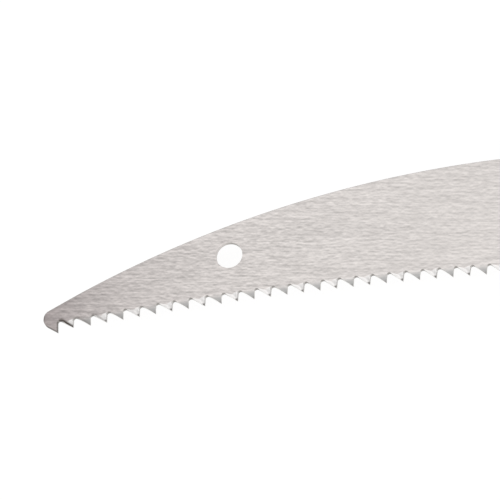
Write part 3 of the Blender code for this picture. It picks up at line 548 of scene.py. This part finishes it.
# Every column of the blade's skin is a spoke of the tooth line's circle, from the
# toothed edge to the back, and the two holes part it in the middle.
run, rise = along_line(loop)
loop_start = np.argmin(run)
run, rise = np.roll(run, -loop_start), np.roll(rise, -loop_start)
far = np.argmax(run)
stops = [run, np.arange(-FIRST_TOOTH, TEETH * PITCH, COLUMN_STEP)]
stops += [spokes_across(hole, radius) for hole, radius in HOLES]
column = np.unique(np.round(np.concatenate(stops), 4))
column = column[(column > run.min() + END_MARGIN) & (column < run.max() - END_MARGIN)]
column = np.concatenate([[run.min()], column, [run.max()]])
low_edge = np.interp(column, run[:far + 1], rise[:far + 1])
back_run, back_rise = np.append(run[far:], run[0])[::-1], np.append(rise[far:], rise[0])[::-1]
high_edge = np.maximum(np.interp(column, back_run, back_rise), low_edge)
spoke = line_start - column / LINE_RADIUS
middle_run, middle_rise = along_line(np.stack([hole for hole, radius in HOLES]))
parting = np.interp(column, middle_run, middle_rise)
parting = np.clip(parting, low_edge * 0.65 + high_edge * 0.35, low_edge * 0.25 + high_edge * 0.75)
under, over, crossings = parting, parting, []
for hole, radius in HOLES:
    enters, leaves, crosses = sides_of(hole, radius, spoke)
    under, over = np.where(crosses, enters, under), np.where(crosses, leaves, over)
    crossings.append(np.flatnonzero(crosses))
root_run, root_rises = along_line(gullets[:, GULLET_STEPS // 2])
root_rise = root_rises.mean()
fold = np.clip(root_rise + ROOT_STEP, low_edge, under)
above = np.minimum(fold + ROOT_STEP, under)
rows_low = np.concatenate([rows_between(low_edge, fold, TOOTH_ROWS), rows_between(above, under, PLATE_ROWS)])
back_break = np.maximum(high_edge - EDGE_BREAK, (over + high_edge) / 2)
near_back = np.maximum(back_break - BACK_STRIP, (over + back_break) / 2)
rows_high = np.concatenate([rows_between(over, near_back, PLATE_ROWS), back_break[None]])

# The tooth that each column is in, the side that it is set to, the column's distance
# beside its tip, that tip's own rise, and the painted shade that darkens the first teeth.
tooth = np.searchsorted(root_run, column)
side = np.where((tooth < 1) | (tooth >= TEETH), 0, np.where(tooth % 2 == 1, 1, -1))
beside, own_rise = column - tip_run[tooth], tip_rise[tooth]
back_shade = np.clip(BACK_SHADE_STRENGTH * np.exp(-column / BACK_SHADE_FADE), 0.0, 1.0) * (column < BACK_SHADE_END) * (tooth > 0)


def blade_sheet(rows, top):
    """One face of the blade, and how much of it is freshly ground and painted bright, painted in shade, and
    marked dark.

    Below the gullets a tooth leans to its side in proportion to its depth. Where it is
    ground, the face falls away towards its front edge from a line FRONT_GRIND inside
    it, and towards its back edge from a line that comes in by BACK_GRIND at the tip.
    The deeper cut counts: the larger of a and b is (a + b + hypot(a - b, c)) / 2, where
    c rounds the ridge between them, and the same with b = 0 rounds the start of the cut.
    """
    depth = np.clip((root_rise - rows) / root_rise, 0.0, DEEPEST)
    to_face = np.maximum((rows - own_rise) * np.sin(FACE_RAKE) - beside * np.cos(FACE_RAKE), 0.0)
    to_back = np.maximum(beside * np.sin(BACK_ANGLE) + (rows - own_rise) * np.cos(BACK_ANGLE), 0.0)
    ground = side == (1 if top else -1)
    from_front = FRONT_GRIND * share(depth, 0.2) - to_face
    from_back = BACK_GRIND * depth - to_back
    within = (from_front + from_back + np.hypot(from_front - from_back, GRIND_MEET)) / 2
    fall = np.minimum((within + np.hypot(within, GRIND_ROUND)) / 2, GRIND_LIMIT)
    fall = GRIND_SLOPE * fall * share(depth, 0.35)
    x = line_centre[0] + (LINE_RADIUS + rows) * np.cos(spoke)
    y = line_centre[1] + (LINE_RADIUS + rows) * np.sin(spoke)
    z = BLADE_BOTTOM + side * TOOTH_SET * depth
    z = z + ground * (-fall if top else fall) + top * BLADE_THICKNESS
    # Ground faces are painted bright: partly the fresh steel, partly painted highlight.
    facet = share(within + 0.3, 0.45) * share(depth, 0.15) * ground
    # Teeth set away from this face are painted darker here, as painted shade.
    hollow = (side != 0) * ~ground * share(depth, 0.5)
    # Dark marks, in millimetres from an edge: painted shade along the first teeth's backs
    # and along the edge and face of the toe, a dark line down each ground face's front edge
    # and a dark speck at each tip.
    shaded_back = near(to_back, 0.324, 0.684) * back_shade * np.where(ground, 1.0, 0.45)
    shaded_back = shaded_back * share(root_rise + np.where(tooth == 1, 0.45, 0.25) - rows, 0.3)
    toe_edge = (tooth == 0) * np.maximum(near(to_back, 0.04, 0.24), near(x + REACH, 0.06, 0.36))
    toe_face = (tooth == 0) * (depth > 0.0) * near(to_face, 0.06, 0.26)
    front_line = near(to_face, 0.045, 0.195) * ground * (depth > 0.05)
    speck = near(np.hypot(beside + 0.15, rows - own_rise - 0.25), 0.32, 0.72) * (side != 0)
    rim = np.maximum.reduce([shaded_back, 0.65 * toe_edge, 0.55 * toe_face, 0.5 * front_line,
                             speck * np.where(ground, 0.8, 0.3)])
    return np.stack([x, y, z], -1), facet, hollow, rim


sheets, marks = [], {"facet": [], "hollow": [], "rim": []}
for rows, top in ((rows_low, True), (rows_high, True), (rows_low, False), (rows_high, False)):
    points, *values = blade_sheet(rows, top)
    sheets.append((points, GROUND))
    for mark, value in zip(marks.values(), values):
        mark.append(value)
top_low, top_high, under_low, under_high = (points for points, coat in sheets)
down = np.minimum(EDGE_BREAK, high_edge - low_edge)[:, None] * (0.0, 0.0, 1.0)
lip = blade_sheet(high_edge[None], True)[0][0] - down
foot = blade_sheet(high_edge[None], False)[0][0] + down
sheets.append((np.stack([top_low[0], under_low[0]]), BLANKED))
sheets.append((np.stack([top_high[-1], lip, foot, under_high[-1]]), BLANKED))

# The toothed wall shares the marks of the upper face's edge. The back's wall has none.
# On the wall the marks are painted light and shade: lighter on teeth set down and in parts of the gullets, a
# white highlight on ground teeth, and shade at the toe and along the first teeth's backs.
off_back = beside * np.sin(BACK_ANGLE) + (low_edge - own_rise) * np.cos(BACK_ANGLE)
flank = off_back < ON_BACK
lit_wall_columns = (side < 0) & (beside < 1.5 - PITCH) | (side > 0) & (beside > -ON_BACK)
shaded_back_wall = (side > 0) * flank * back_shade * ((off_back > -ON_BACK) | (tooth == 1))
wall_marks = {"facet": marks["facet"][0][0] * flank * (1.0 - back_shade),
              "hollow": np.maximum(marks["hollow"][0][0], lit_wall_columns),
              "rim": np.where(tooth == 0, 0.9, shaded_back_wall)}
for key, value in wall_marks.items():
    marks[key] += [np.stack([value, value]), np.zeros((4, len(column)))]
for crossing in crossings:
    for upper_side, lower_side in ((top_low[-1], under_low[-1]), (top_high[0], under_high[0])):
        sheets.append((np.stack([upper_side[crossing], lower_side[crossing]]), DRILLED))
        for mark in marks.values():
            mark.append(np.zeros((2, len(crossing))))

# Ground spring steel: a warm light grey, streaked by the grinding belt. The belt's
# marks run straight along the blade, about half a millimetre wide and 2 mm long, and
# are fainter past the toe. The toe is painted a shade darker, as painted shade that
# fades over about 24 mm from the nose. Ground teeth are painted bright, partly fresh
# steel and partly painted highlight, and teeth set away are painted darker as painted shade.
TOE_SHADE, FADE_START, FADE_END = 24.1, 50.0, 95.0
nose_x = float(PIVOT[0] - REACH * MM)
ground_steel, tree, shader, where = finish("ground_spring_steel")
along = add(tree, "SeparateXYZ", {0: where}).outputs["X"]
belt = add(tree, "Mapping", {"Vector": where, "Scale": every(1.7, 0.44, 2.5)})
short_marks = add(tree, "TexNoise", {"Vector": belt, "Scale": 1.0, "Detail": 2.0, "Roughness": 0.6})
long_belt = add(tree, "Mapping", {"Vector": where, "Scale": every(15.0, 0.40, 2.5)})
long_marks = add(tree, "TexNoise", {"Vector": long_belt, "Scale": 1.0, "Detail": 1.0})
both_marks = add(tree, "Math", {0: long_marks, 1: 0.4, 2: short_marks}, operation="MULTIPLY_ADD")
# Painted shade beside each mark: the same marks, shifted across by about half a millimetre, are taken away.
shadow = add(tree, "VectorMath", {0: belt, 1: (0.0, 1.2, 0.0)}, operation="ADD")
groove_shade = add(tree, "TexNoise", {"Vector": shadow, "Scale": 1.0, "Detail": 2.0, "Roughness": 0.6})
streaks = add(tree, "Math", {0: groove_shade, 1: -0.22, 2: both_marks}, operation="MULTIPLY_ADD")
streak = add(tree, "MapRange", {0: streaks, 1: 0.29, 2: 0.89, 3: -0.30, 4: 0.31})
fade_start, fade_end = nose_x + FADE_START * MM, nose_x + FADE_END * MM
fading = add(tree, "MapRange", {0: along, 1: fade_start, 2: fade_end, 3: 1.06, 4: 0.78})
marked = add(tree, "Math", {0: streak, 1: fading, 2: 1.0}, operation="MULTIPLY_ADD")
# Painted shade: the plain colour and the shade colour darken towards the toe, falling by e over every 24.1 mm
# from the nose.
toeward = add(tree, "Math", {0: along, 1: -every(TOE_SHADE), 2: nose_x * every(TOE_SHADE)},
              operation="MULTIPLY_ADD")
toe = add(tree, "Math", {0: toeward}, operation="EXPONENT")
plain = add(tree, "Mix", {0: toe, 6: linear("#D5D0CD"), 7: linear("#9F9796")}, data_type="RGBA")
streaked = add(tree, "VectorMath", {0: plain, 3: marked}, operation="SCALE")
facet, hollow, rim = (add(tree, "Attribute", attribute_name=key).outputs["Fac"] for key in marks)
# Painted shade on teeth set away, darker towards the toe, and a painted highlight on ground faces.
shade = add(tree, "Mix", {0: toe, 6: linear("#A9A8A7"), 7: linear("#8C8A89")}, data_type="RGBA")
shaded = add(tree, "Mix", {0: hollow, 6: streaked, 7: shade}, data_type="RGBA")
bright = add(tree, "Mix", {0: facet, 6: shaded, 7: linear("#E4E2E1")}, data_type="RGBA")
rimmed = add(tree, "Mix", {0: rim, 6: bright, 7: linear("#4E4743")}, data_type="RGBA")
rough = add(tree, "MapRange", {0: streaks, 1: 0.25, 2: 0.95, 3: 0.44, 4: 0.30})
matt = add(tree, "Mix", {0: facet, 2: rough, 3: 0.55})
scratches = add(tree, "Bump", {"Strength": 0.2, "Distance": 0.04 * MM, "Height": streaks})
feed(tree, shader, {"Base Color": rimmed, "Roughness": matt, "Normal": scratches})

# Blanked edge: the torn grey wall that the press leaves, its grey partly painted shade.
# It is painted lighter in parts of the gullets, as painted light, white on the ground
# teeth, as painted highlight, and darkest at the toe and the first teeth's backs, as painted shade.
blanked_edge, tree, shader, where = finish("blanked_edge_steel")
torn = add(tree, "TexNoise", {"Vector": where, "Scale": every(0.8), "Detail": 2.0})
facet, hollow, rim = (add(tree, "Attribute", attribute_name=key).outputs["Fac"] for key in marks)
lightening = add(tree, "MapRange", {0: hollow, 1: 0.0, 2: 0.5, 3: 0.0, 4: 1.0})
lit_edge = add(tree, "Mix", {0: lightening, 6: linear("#9B9793"), 7: linear("#CFCCC7")}, data_type="RGBA")
dark = add(tree, "Mix", {0: rim, 6: lit_edge, 7: linear("#4E4743")}, data_type="RGBA")
highlit = add(tree, "Mix", {0: facet, 6: dark, 7: linear("#F5F4F2")}, data_type="RGBA")
tear = add(tree, "MapRange", {0: torn, 1: 0.3, 2: 0.7, 3: 0.9, 4: 1.1})
broken = add(tree, "VectorMath", {0: highlit, 3: tear}, operation="SCALE")
feed(tree, shader, {"Base Color": broken, "Roughness": 0.5})

# Drilled wall: round tool marks, brighter than the blanked edge, with the side of the
# hole towards the toe, whose wall faces the handle, painted lighter as painted light.
drilled_wall, tree, shader, where = finish("drilled_wall_steel")
stacked = add(tree, "Mapping", {"Vector": where, "Scale": every(4.0, 4.0, 0.15)})
tool = add(tree, "TexNoise", {"Vector": stacked, "Scale": 1.0, "Detail": 1.0})
tooled = add(tree, "Mix", {0: tool, 6: linear("#8E8A86"), 7: linear("#B4B1AD")}, data_type="RGBA")
# Painted light: the wall is lighter where it faces along +x, towards the handle.
facing = add(tree, "SeparateXYZ", {0: where.node.outputs["Normal"]}).outputs["X"]
lit_side = add(tree, "MapRange", {0: facing, 1: -0.1, 2: 0.5, 3: 0.0, 4: 1.0})
side_lit = add(tree, "Mix", {0: lit_side, 6: tooled, 7: linear("#CFCAC7")}, data_type="RGBA")
feed(tree, shader, {"Base Color": side_lit, "Roughness": 0.45})

blade = skin("blade_plate", sheets, [ground_steel, blanked_edge, drilled_wall], marks=marks, sharp=28.0)
carried(blade, "blade", "blade")

# Pivot plates. Two brass discs, turned in the lathe and let in flush round the pivot.
# The upper one takes the washer's pressure, the lower one is sunk for the bolt's head.
# Each is held by two countersunk screws.
PLATE_RADIUS, PLATE_THICKNESS, PLATE_BREAK = 13.0, 2.0, 0.25
HANDLE_THICKNESS = 21.6
PLATES = {"upper_pivot_plate": (HANDLE_THICKNESS, 1, BOLT_HOLE, BOLT_HOLE),
          "lower_pivot_plate": (0.0, -1, 7.15, 5.15)}  # face, its way out, bore at the face and behind
SINK_RADIUS, SINK_DEPTH = 1.15, 1.2
TOOL_RINGS = 0.3


def keep_rings(piece, spot):
    """Writes each point's distance from an axis in millimetres, which the marks of the tool follow."""
    points = np.empty(len(piece.data.vertices) * 3)
    piece.data.vertices.foreach_get("co", points)
    away = (points.reshape(-1, 3) - PIVOT)[:, :2] / MM - spot
    mark = piece.data.attributes.get("turned") or piece.data.attributes.new("turned", "FLOAT", "POINT")
    mark.data.foreach_set("value", np.hypot(away[:, 0], away[:, 1]).astype(np.float32))


def turned_piece(name, profile, spot, coat, steps):
    """A turned piece of one finish, with the distances that its tool's rings follow."""
    piece = skin(name, [(grid, 0) for grid in lathe(profile, [spot], steps)], [coat])
    keep_rings(piece, spot)
    return piece


def stand(profile, face, out):
    """A profile with heights from a face, stood on that face, which looks up (out is 1) or down (-1)."""
    return [(radius, face + out * height) for radius, height in profile]


# Turned brass: a warm yellow, with rings from the tool about 0.3 mm apart, and brown
# tarnish in patches where hands don't rub it bright.
turned_brass, tree, shader, where = finish("turned_brass")
away = add(tree, "Attribute", attribute_name="turned").outputs["Fac"]
rings = add(tree, "TexNoise", {"W": away, "Scale": 1 / TOOL_RINGS, "Detail": 2.0}, noise_dimensions="1D")
tarnish = add(tree, "TexNoise", {"Vector": where, "Scale": every(5.0), "Detail": 5.0})
browned = add(tree, "MapRange", {0: tarnish, 1: 0.38, 2: 0.72, 3: 0.0, 4: 0.85})
yellow = add(tree, "Mix", {0: browned, 6: linear("#DDBE73"), 7: linear("#9C7438")}, data_type="RGBA")
ringed = add(tree, "MapRange", {0: rings, 1: 0.3, 2: 0.7, 3: 0.86, 4: 1.12})
bright = add(tree, "VectorMath", {0: yellow, 3: ringed}, operation="SCALE")
dulled = add(tree, "MapRange", {0: tarnish, 1: 0.35, 2: 0.7, 3: 0.22, 4: 0.42})
grooved = add(tree, "Bump", {"Strength": 0.3, "Distance": 0.04 * MM, "Height": rings})
feed(tree, shader, {"Base Color": bright, "Roughness": dulled, "Normal": grooved})

sink = [(0.0, OVERRUN), (SINK_RADIUS + SINK_DEPTH + OVERRUN, OVERRUN), (SINK_RADIUS, -SINK_DEPTH),
        (SINK_RADIUS, -2 * PLATE_THICKNESS), (0.0, -2 * PLATE_THICKNESS)]
for node_name, (face, out, bore, bore_behind) in PLATES.items():
    radii = np.linspace(PLATE_RADIUS - PLATE_BREAK, bore + PLATE_BREAK, 5)
    disc = [(bore_behind, -PLATE_THICKNESS), (PLATE_RADIUS - PLATE_BREAK, -PLATE_THICKNESS),
            (PLATE_RADIUS, PLATE_BREAK - PLATE_THICKNESS), (PLATE_RADIUS, -PLATE_BREAK)]
    disc += [(radius, 0.0) for radius in radii] + [(bore, -PLATE_BREAK), (bore_behind, -PLATE_THICKNESS)]
    plate = turned_piece(node_name + "_disc", stand(disc, face, out), AXIS[0], turned_brass, 96)
    drill(plate, [(stand(sink, face, out), PLATE_SCREWS)])
    keep_rings(plate, AXIS[0])
    carried(plate, node_name, "handle")

# Plate screws. Small brass wood screws with slotted, countersunk heads, turned home
# until they stand just below the plates.
PLATE_SCREW_SUNK = 0.1
SLOT_LENGTH, PLATE_SLOT_WIDTH, PLATE_SLOT_DEPTH = 8.0, 0.63, 0.49


def slot_head(screw, spot, turn, width, depth, face, out):
    """Saws the slot across a screw's head at a turn in degrees, and renews the rings on the new faces."""
    mill(screw, spot, turn, SLOT_LENGTH, width, face - out * depth, face + out * OVERRUN)
    keep_rings(screw, spot)


plate_screw = [(0.0, 0.0), (0.7, 0.0), (1.4, 0.0), (2.0, 0.0), (2.1, -0.1), (1.0, -1.2), (1.0, -5.6),
               (0.0, -7.0)]
for index in range(4):
    spot = PLATE_SCREWS[index % 2]
    face, out = (HANDLE_THICKNESS - PLATE_SCREW_SUNK, 1) if index < 2 else (PLATE_SCREW_SUNK, -1)
    node_name = "plate_screw_%d" % (index + 1)
    screw = turned_piece(node_name + "_slotted", stand(plate_screw, face, out), spot, turned_brass, 32)
    slot_head(screw, spot, 35.0 + 70.0 * index, PLATE_SLOT_WIDTH, PLATE_SLOT_DEPTH, face, out)
    carried(screw, node_name, "handle")

# Pivot bolt. Zinc plated steel, with a flush conical head below, a square neck that
# keeps it from turning in the lower liner, and an M6 thread rolled on its end.
BOLT_RADIUS, BOLT_HEAD, BOLT_END, BOLT_POINT = 3.0, 7.0, 33.9, 2.25
NECK_WIDTH, NECK_CORNER, NECK_LOW, NECK_HIGH = 6.4, 4.3, 3.8, 9.2
THREAD_START, THREAD_PITCH, THREAD_DEPTH = 21.9, 1.0, 0.54
BOLT_STEPS, THREAD_STEP = 60, 0.1


def thread(height, angle):
    """Radius of a right-hand thread: flat crests an eighth of the pitch wide, straight flanks, flat roots."""
    fraction = (height / THREAD_PITCH - angle / 360.0) % 1.0
    to_root = np.clip((1.0 - np.abs(2.0 * fraction - 1.0) - 0.125) / 0.625, 0.0, 1.0)
    return BOLT_RADIUS - THREAD_DEPTH * to_root * share(height - THREAD_START, THREAD_PITCH)


ring, angle = closed_circle(BOLT_STEPS), np.linspace(0.0, 360.0, BOLT_STEPS + 1)[None]
square = np.minimum(NECK_WIDTH / 2 / np.max(np.abs(ring), axis=1), NECK_CORNER)[None]
height = np.arange(THREAD_START, BOLT_END, THREAD_STEP)[:, None]
chamfer = np.clip(BOLT_END - height + BOLT_POINT, 0.0, BOLT_RADIUS)
head = np.array([(0.0, 0.0), (2.3, 0.0), (4.6, 0.0), (BOLT_HEAD - 0.15, 0.0), (BOLT_HEAD - 0.1, 0.1),
                 (BOLT_HEAD - 2.0, 2.0), (BOLT_HEAD - NECK_LOW, NECK_LOW)])
end = np.array([(BOLT_POINT, BOLT_END), (1.1, BOLT_END), (0.0, BOLT_END)])
all_round = np.ones_like(angle)
radius = np.concatenate([head[:, :1] * all_round, square, square, BOLT_RADIUS * all_round,
                         np.minimum(thread(height, angle), chamfer), end[:, :1] * all_round])
radius[:, -1] = radius[:, 0]
height = np.concatenate([head[:, 1], [NECK_LOW, NECK_HIGH, NECK_HIGH], height[:, 0], end[:, 1]])
bolt = skin("pivot_bolt_threaded", [(at_heights(radius[..., None] * ring, height), 0)], [zinc_plate])
carried(bolt, "pivot_bolt", "handle")

# Through fasteners. Brass barrel nuts pushed in from below and slotted screws from
# above, with flat, slightly crowned heads, that clamp the scales on the liners.
FASTENER_SUNK = 0.2
HANDLE_SLOT_WIDTH, HANDLE_SLOT_DEPTH = 0.9, 0.7
fastener_head = [(0.0, 0.12), (1.2, 0.10), (2.4, 0.05), (3.43, -0.05), (3.75, -0.32), (3.75, -1.6)]
barrel = fastener_head + [(2.3, -1.6), (2.3, -17.2), (2.1, -17.4), (1.6, -17.4), (1.6, -6.9), (0.0, -6.9)]
shank = fastener_head + [(1.5, -1.6), (1.5, -10.4), (1.3, -10.6), (0.0, -10.6)]
for index, spot in enumerate(FASTENERS):
    node_name = "barrel_nut_%d" % (index + 1)
    nut = turned_piece(node_name + "_turned", stand(barrel, FASTENER_SUNK, -1), spot, turned_brass, 40)
    carried(nut, node_name, "handle")
    node_name = "handle_screw_%d" % (index + 1)
    face = HANDLE_THICKNESS - FASTENER_SUNK
    screw = turned_piece(node_name + "_slotted", stand(shank, face, 1), spot, turned_brass, 40)
    slot_head(screw, spot, 20.0 + 50.0 * index, HANDLE_SLOT_WIDTH, HANDLE_SLOT_DEPTH, face, 1)
    carried(screw, node_name, "handle")

# Lanyard tube. A length of brass tube pushed through the butt, with its ends rolled
# over so that a wrist cord doesn't chafe.
tube = [(4.2, 0.6), (4.3, 0.3), (4.55, 0.2), (4.8, 0.25), (5.0, 0.5), (5.0, 21.1), (4.8, 21.35), (4.55, 21.4),
        (4.3, 21.3), (4.2, 21.0), (4.2, 0.6)]
eyelet = turned_piece("lanyard_tube_rolled", tube, LANYARD[0], turned_brass, 48)
carried(eyelet, "lanyard_tube", "handle")

# Washers. A flat washer stamped from plate, round on its upper side, and a spring
# washer of square wire with a slanted split, both zinc plated, under the wing nut.
stamped = [(3.15, 22.9), (3.15, 21.9), (3.35, 21.7), (8.3, 21.7), (8.5, 21.9), (8.5, 22.6), (8.38, 22.9),
           (8.1, 23.1), (3.4, 23.1), (3.15, 22.9)]
washer = skin("flat_washer_stamped", [(lathe(stamped, steps=96)[0], 0)], [zinc_plate])
carried(washer, "flat_washer", "handle")

SPLIT_TURN, SPLIT_GAP, SPLIT_SLANT, SPLIT_MIDDLE = -70.0, 1.0, np.radians(20.0), 24.0
section = np.array([(3.15, 23.4), (3.35, 23.2), (5.7, 23.2), (5.9, 23.4), (5.9, 24.6), (5.7, 24.8),
                    (3.35, 24.8), (3.15, 24.6), (3.15, 23.4)])
half_gap = np.degrees(np.arcsin(SPLIT_GAP / 2 / section[:, :1]))
slant = -np.degrees(np.tan(SPLIT_SLANT) * (section[:, 1:] - SPLIT_MIDDLE) / section[:, :1])
angle = SPLIT_TURN + slant + half_gap + np.linspace(0.0, 1.0, 65) * (360.0 - 2 * half_gap)
wire = at_heights(section[:, None, :1] * circle(1.0, angle), section[:, 1])
spring = skin("spring_washer_split", [(wire, 0)], [zinc_plate], caps=(wire[:-1, 0], wire[:-1, -1]))
carried(spring, "spring_washer", "lift")

# Wing nut. Cast in one with its two wings, which lean outwards for the thumb, then
# bored and zinc plated. Its edges are as soft as a casting's.
NUT_BOTTOM, NUT_TURN = 24.9, np.radians(25.0)
WING_LENGTH, WING_WIDTH, WING_THICKNESS, WING_LEAN = 16.4, 7.4, 2.4, np.radians(52.0)
WING_FOOT = np.array((4.196, 0.0, 2.2))
CASTING_STEP, CASTING_SOFTNESS = 0.28, 6
hub = [(0.0, 0.0), (6.0, 0.0), (6.3, 0.3), (5.4, 5.9), (4.9, 6.5), (0.0, 6.5)]
pillow = [(0.0, -1.0), (0.55, -1.0), (0.86, -0.92), (0.97, -0.6), (1.0, 0.0), (0.97, 0.6), (0.86, 0.92),
          (0.55, 1.0), (0.0, 1.0)]
petal = lathe(pillow)[0] * (WING_LENGTH / 2, WING_WIDTH / 2, WING_THICKNESS / 2)
lean = np.array([(np.cos(WING_LEAN), 0.0, np.sin(WING_LEAN)), (-np.sin(WING_LEAN), 0.0, np.cos(WING_LEAN)),
                 (0.0, -1.0, 0.0)])
wing = petal @ lean + (WING_FOOT + lean[0] * WING_LENGTH / 2)
nut_sheets = [lathe(hub)[0]]
for turn in (NUT_TURN, NUT_TURN + np.pi):
    swing = np.array([(np.cos(turn), np.sin(turn), 0.0), (-np.sin(turn), np.cos(turn), 0.0), (0.0, 0.0, 1.0)])
    nut_sheets.append(wing @ swing)
casting = skin("wing_nut_cast", [(sheet + (0.0, 0.0, NUT_BOTTOM), 0) for sheet in nut_sheets], [zinc_plate])
cast = casting.modifiers.new("cast", "REMESH")
cast.mode, cast.voxel_size, cast.use_smooth_shade = "VOXEL", CASTING_STEP * MM, True
soften = casting.modifiers.new("soften", "SMOOTH")
soften.factor, soften.iterations = 0.5, CASTING_SOFTNESS
casting.data = bpy.data.meshes.new_from_object(casting.evaluated_get(bpy.context.evaluated_depsgraph_get()))
casting.modifiers.clear()
bored = [(0.0, 24.0), (4.1, 24.0), (3.1, 25.3), (3.1, 31.0), (3.9, 32.0), (0.0, 32.0)]
drill(casting, [(bored, AXIS)])
carried(casting, "wing_nut", "nut")

# Floor, light and camera. The floor and the sky show white, to the eye and in the
# metal, and the floor keeps a soft shadow. One large lamp adds to a plain sky.
SKY_LIGHT, FLOOR_GLOW = 0.70, 0.84
FLOOR_REACH = 60.0  # metres
LAMP_PLACE = Vector((-0.55, -0.75, 1.25))


def as_seen(tree):
    """1 for what the eye sees, straight or mirrored in metal, and 0 for the light that dull faces gather."""
    path = add(tree, "LightPath")
    seen = add(tree, "Math", {0: path.outputs["Is Camera Ray"], 1: path.outputs["Is Glossy Ray"]},
               operation="MAXIMUM")
    return add(tree, "Math", {0: seen, 1: path.outputs["Is Transmission Ray"]}, operation="MAXIMUM")


world = bpy.data.worlds.new("studio")
bpy.context.scene.world = world
world.use_nodes = True
world.cycles.sampling_method = "NONE"
tree = world.node_tree
tree.nodes.clear()
sky = add(tree, "Background", {"Color": linear("#FFFFFF"), "Strength": SKY_LIGHT})
white = add(tree, "Background", {"Color": linear("#FFFFFF"), "Strength": 1.0})
both = add(tree, "MixShader", {0: as_seen(tree), 1: sky, 2: white})
add(tree, "OutputWorld", {"Surface": both})

paper = bpy.data.materials.new("white_paper")
paper.use_nodes = True
paper.cycles.emission_sampling = "NONE"
tree = paper.node_tree
tree.nodes.clear()
lit = add(tree, "BsdfDiffuse", {"Color": linear("#E7E7E7")})
glow = add(tree, "Emission", {"Color": linear("#FFFFFF"), "Strength": FLOOR_GLOW})
shadowed = add(tree, "BsdfDiffuse", {"Color": linear("#878787")})
backdrop = add(tree, "AddShader", {0: glow, 1: shadowed})
both = add(tree, "MixShader", {0: as_seen(tree), 1: lit, 2: backdrop})
add(tree, "OutputMaterial", {"Surface": both})
span = np.linspace(-FLOOR_REACH, FLOOR_REACH, 9) / MM
floor_x, floor_y = np.meshgrid(span, span)
floor = skin("floor", [(np.stack([floor_x, floor_y, np.zeros_like(floor_x)], -1), 0)], [paper])

lamp = bpy.data.lights.new("softbox", "AREA")
lamp.shape, lamp.size, lamp.energy = "DISK", 2.2, 5.5
softbox = bpy.data.objects.new("softbox", lamp)
bpy.context.scene.collection.objects.link(softbox)
facing = (-LAMP_PLACE).to_track_quat("-Z", "Y").to_matrix().to_4x4()
softbox.matrix_world = Matrix.Translation(LAMP_PLACE) @ facing

# The camera looks down on the toe from the handle's side through a long lens. Its own
# axes are given, and the width in metres that its picture takes in at the blade.
AIM = PIVOT + np.array([-165.9, -6.74, 11.4]) * MM
VIEW_WIDTH = 0.1256
right, up, toward = (0.97235, 0.08460, -0.21766), (0.0, 0.93208, 0.36225), (0.2335, -0.3522, 0.9063)
lens = bpy.data.cameras.new("camera")
lens.lens, lens.sensor_width = 500.0, 36.0
lens.clip_start, lens.clip_end = 0.05, 200.0
camera = bpy.data.objects.new("camera", lens)
bpy.context.scene.collection.objects.link(camera)
place = AIM + np.array(toward) * VIEW_WIDTH * lens.lens / lens.sensor_width
rows = [(*row, spot) for row, spot in zip(zip(right, up, toward), place)]
camera.matrix_world = Matrix(rows + [(0, 0, 0, 1)])
bpy.context.scene.camera = camera
bpy.context.scene.view_settings.view_transform = "Standard"
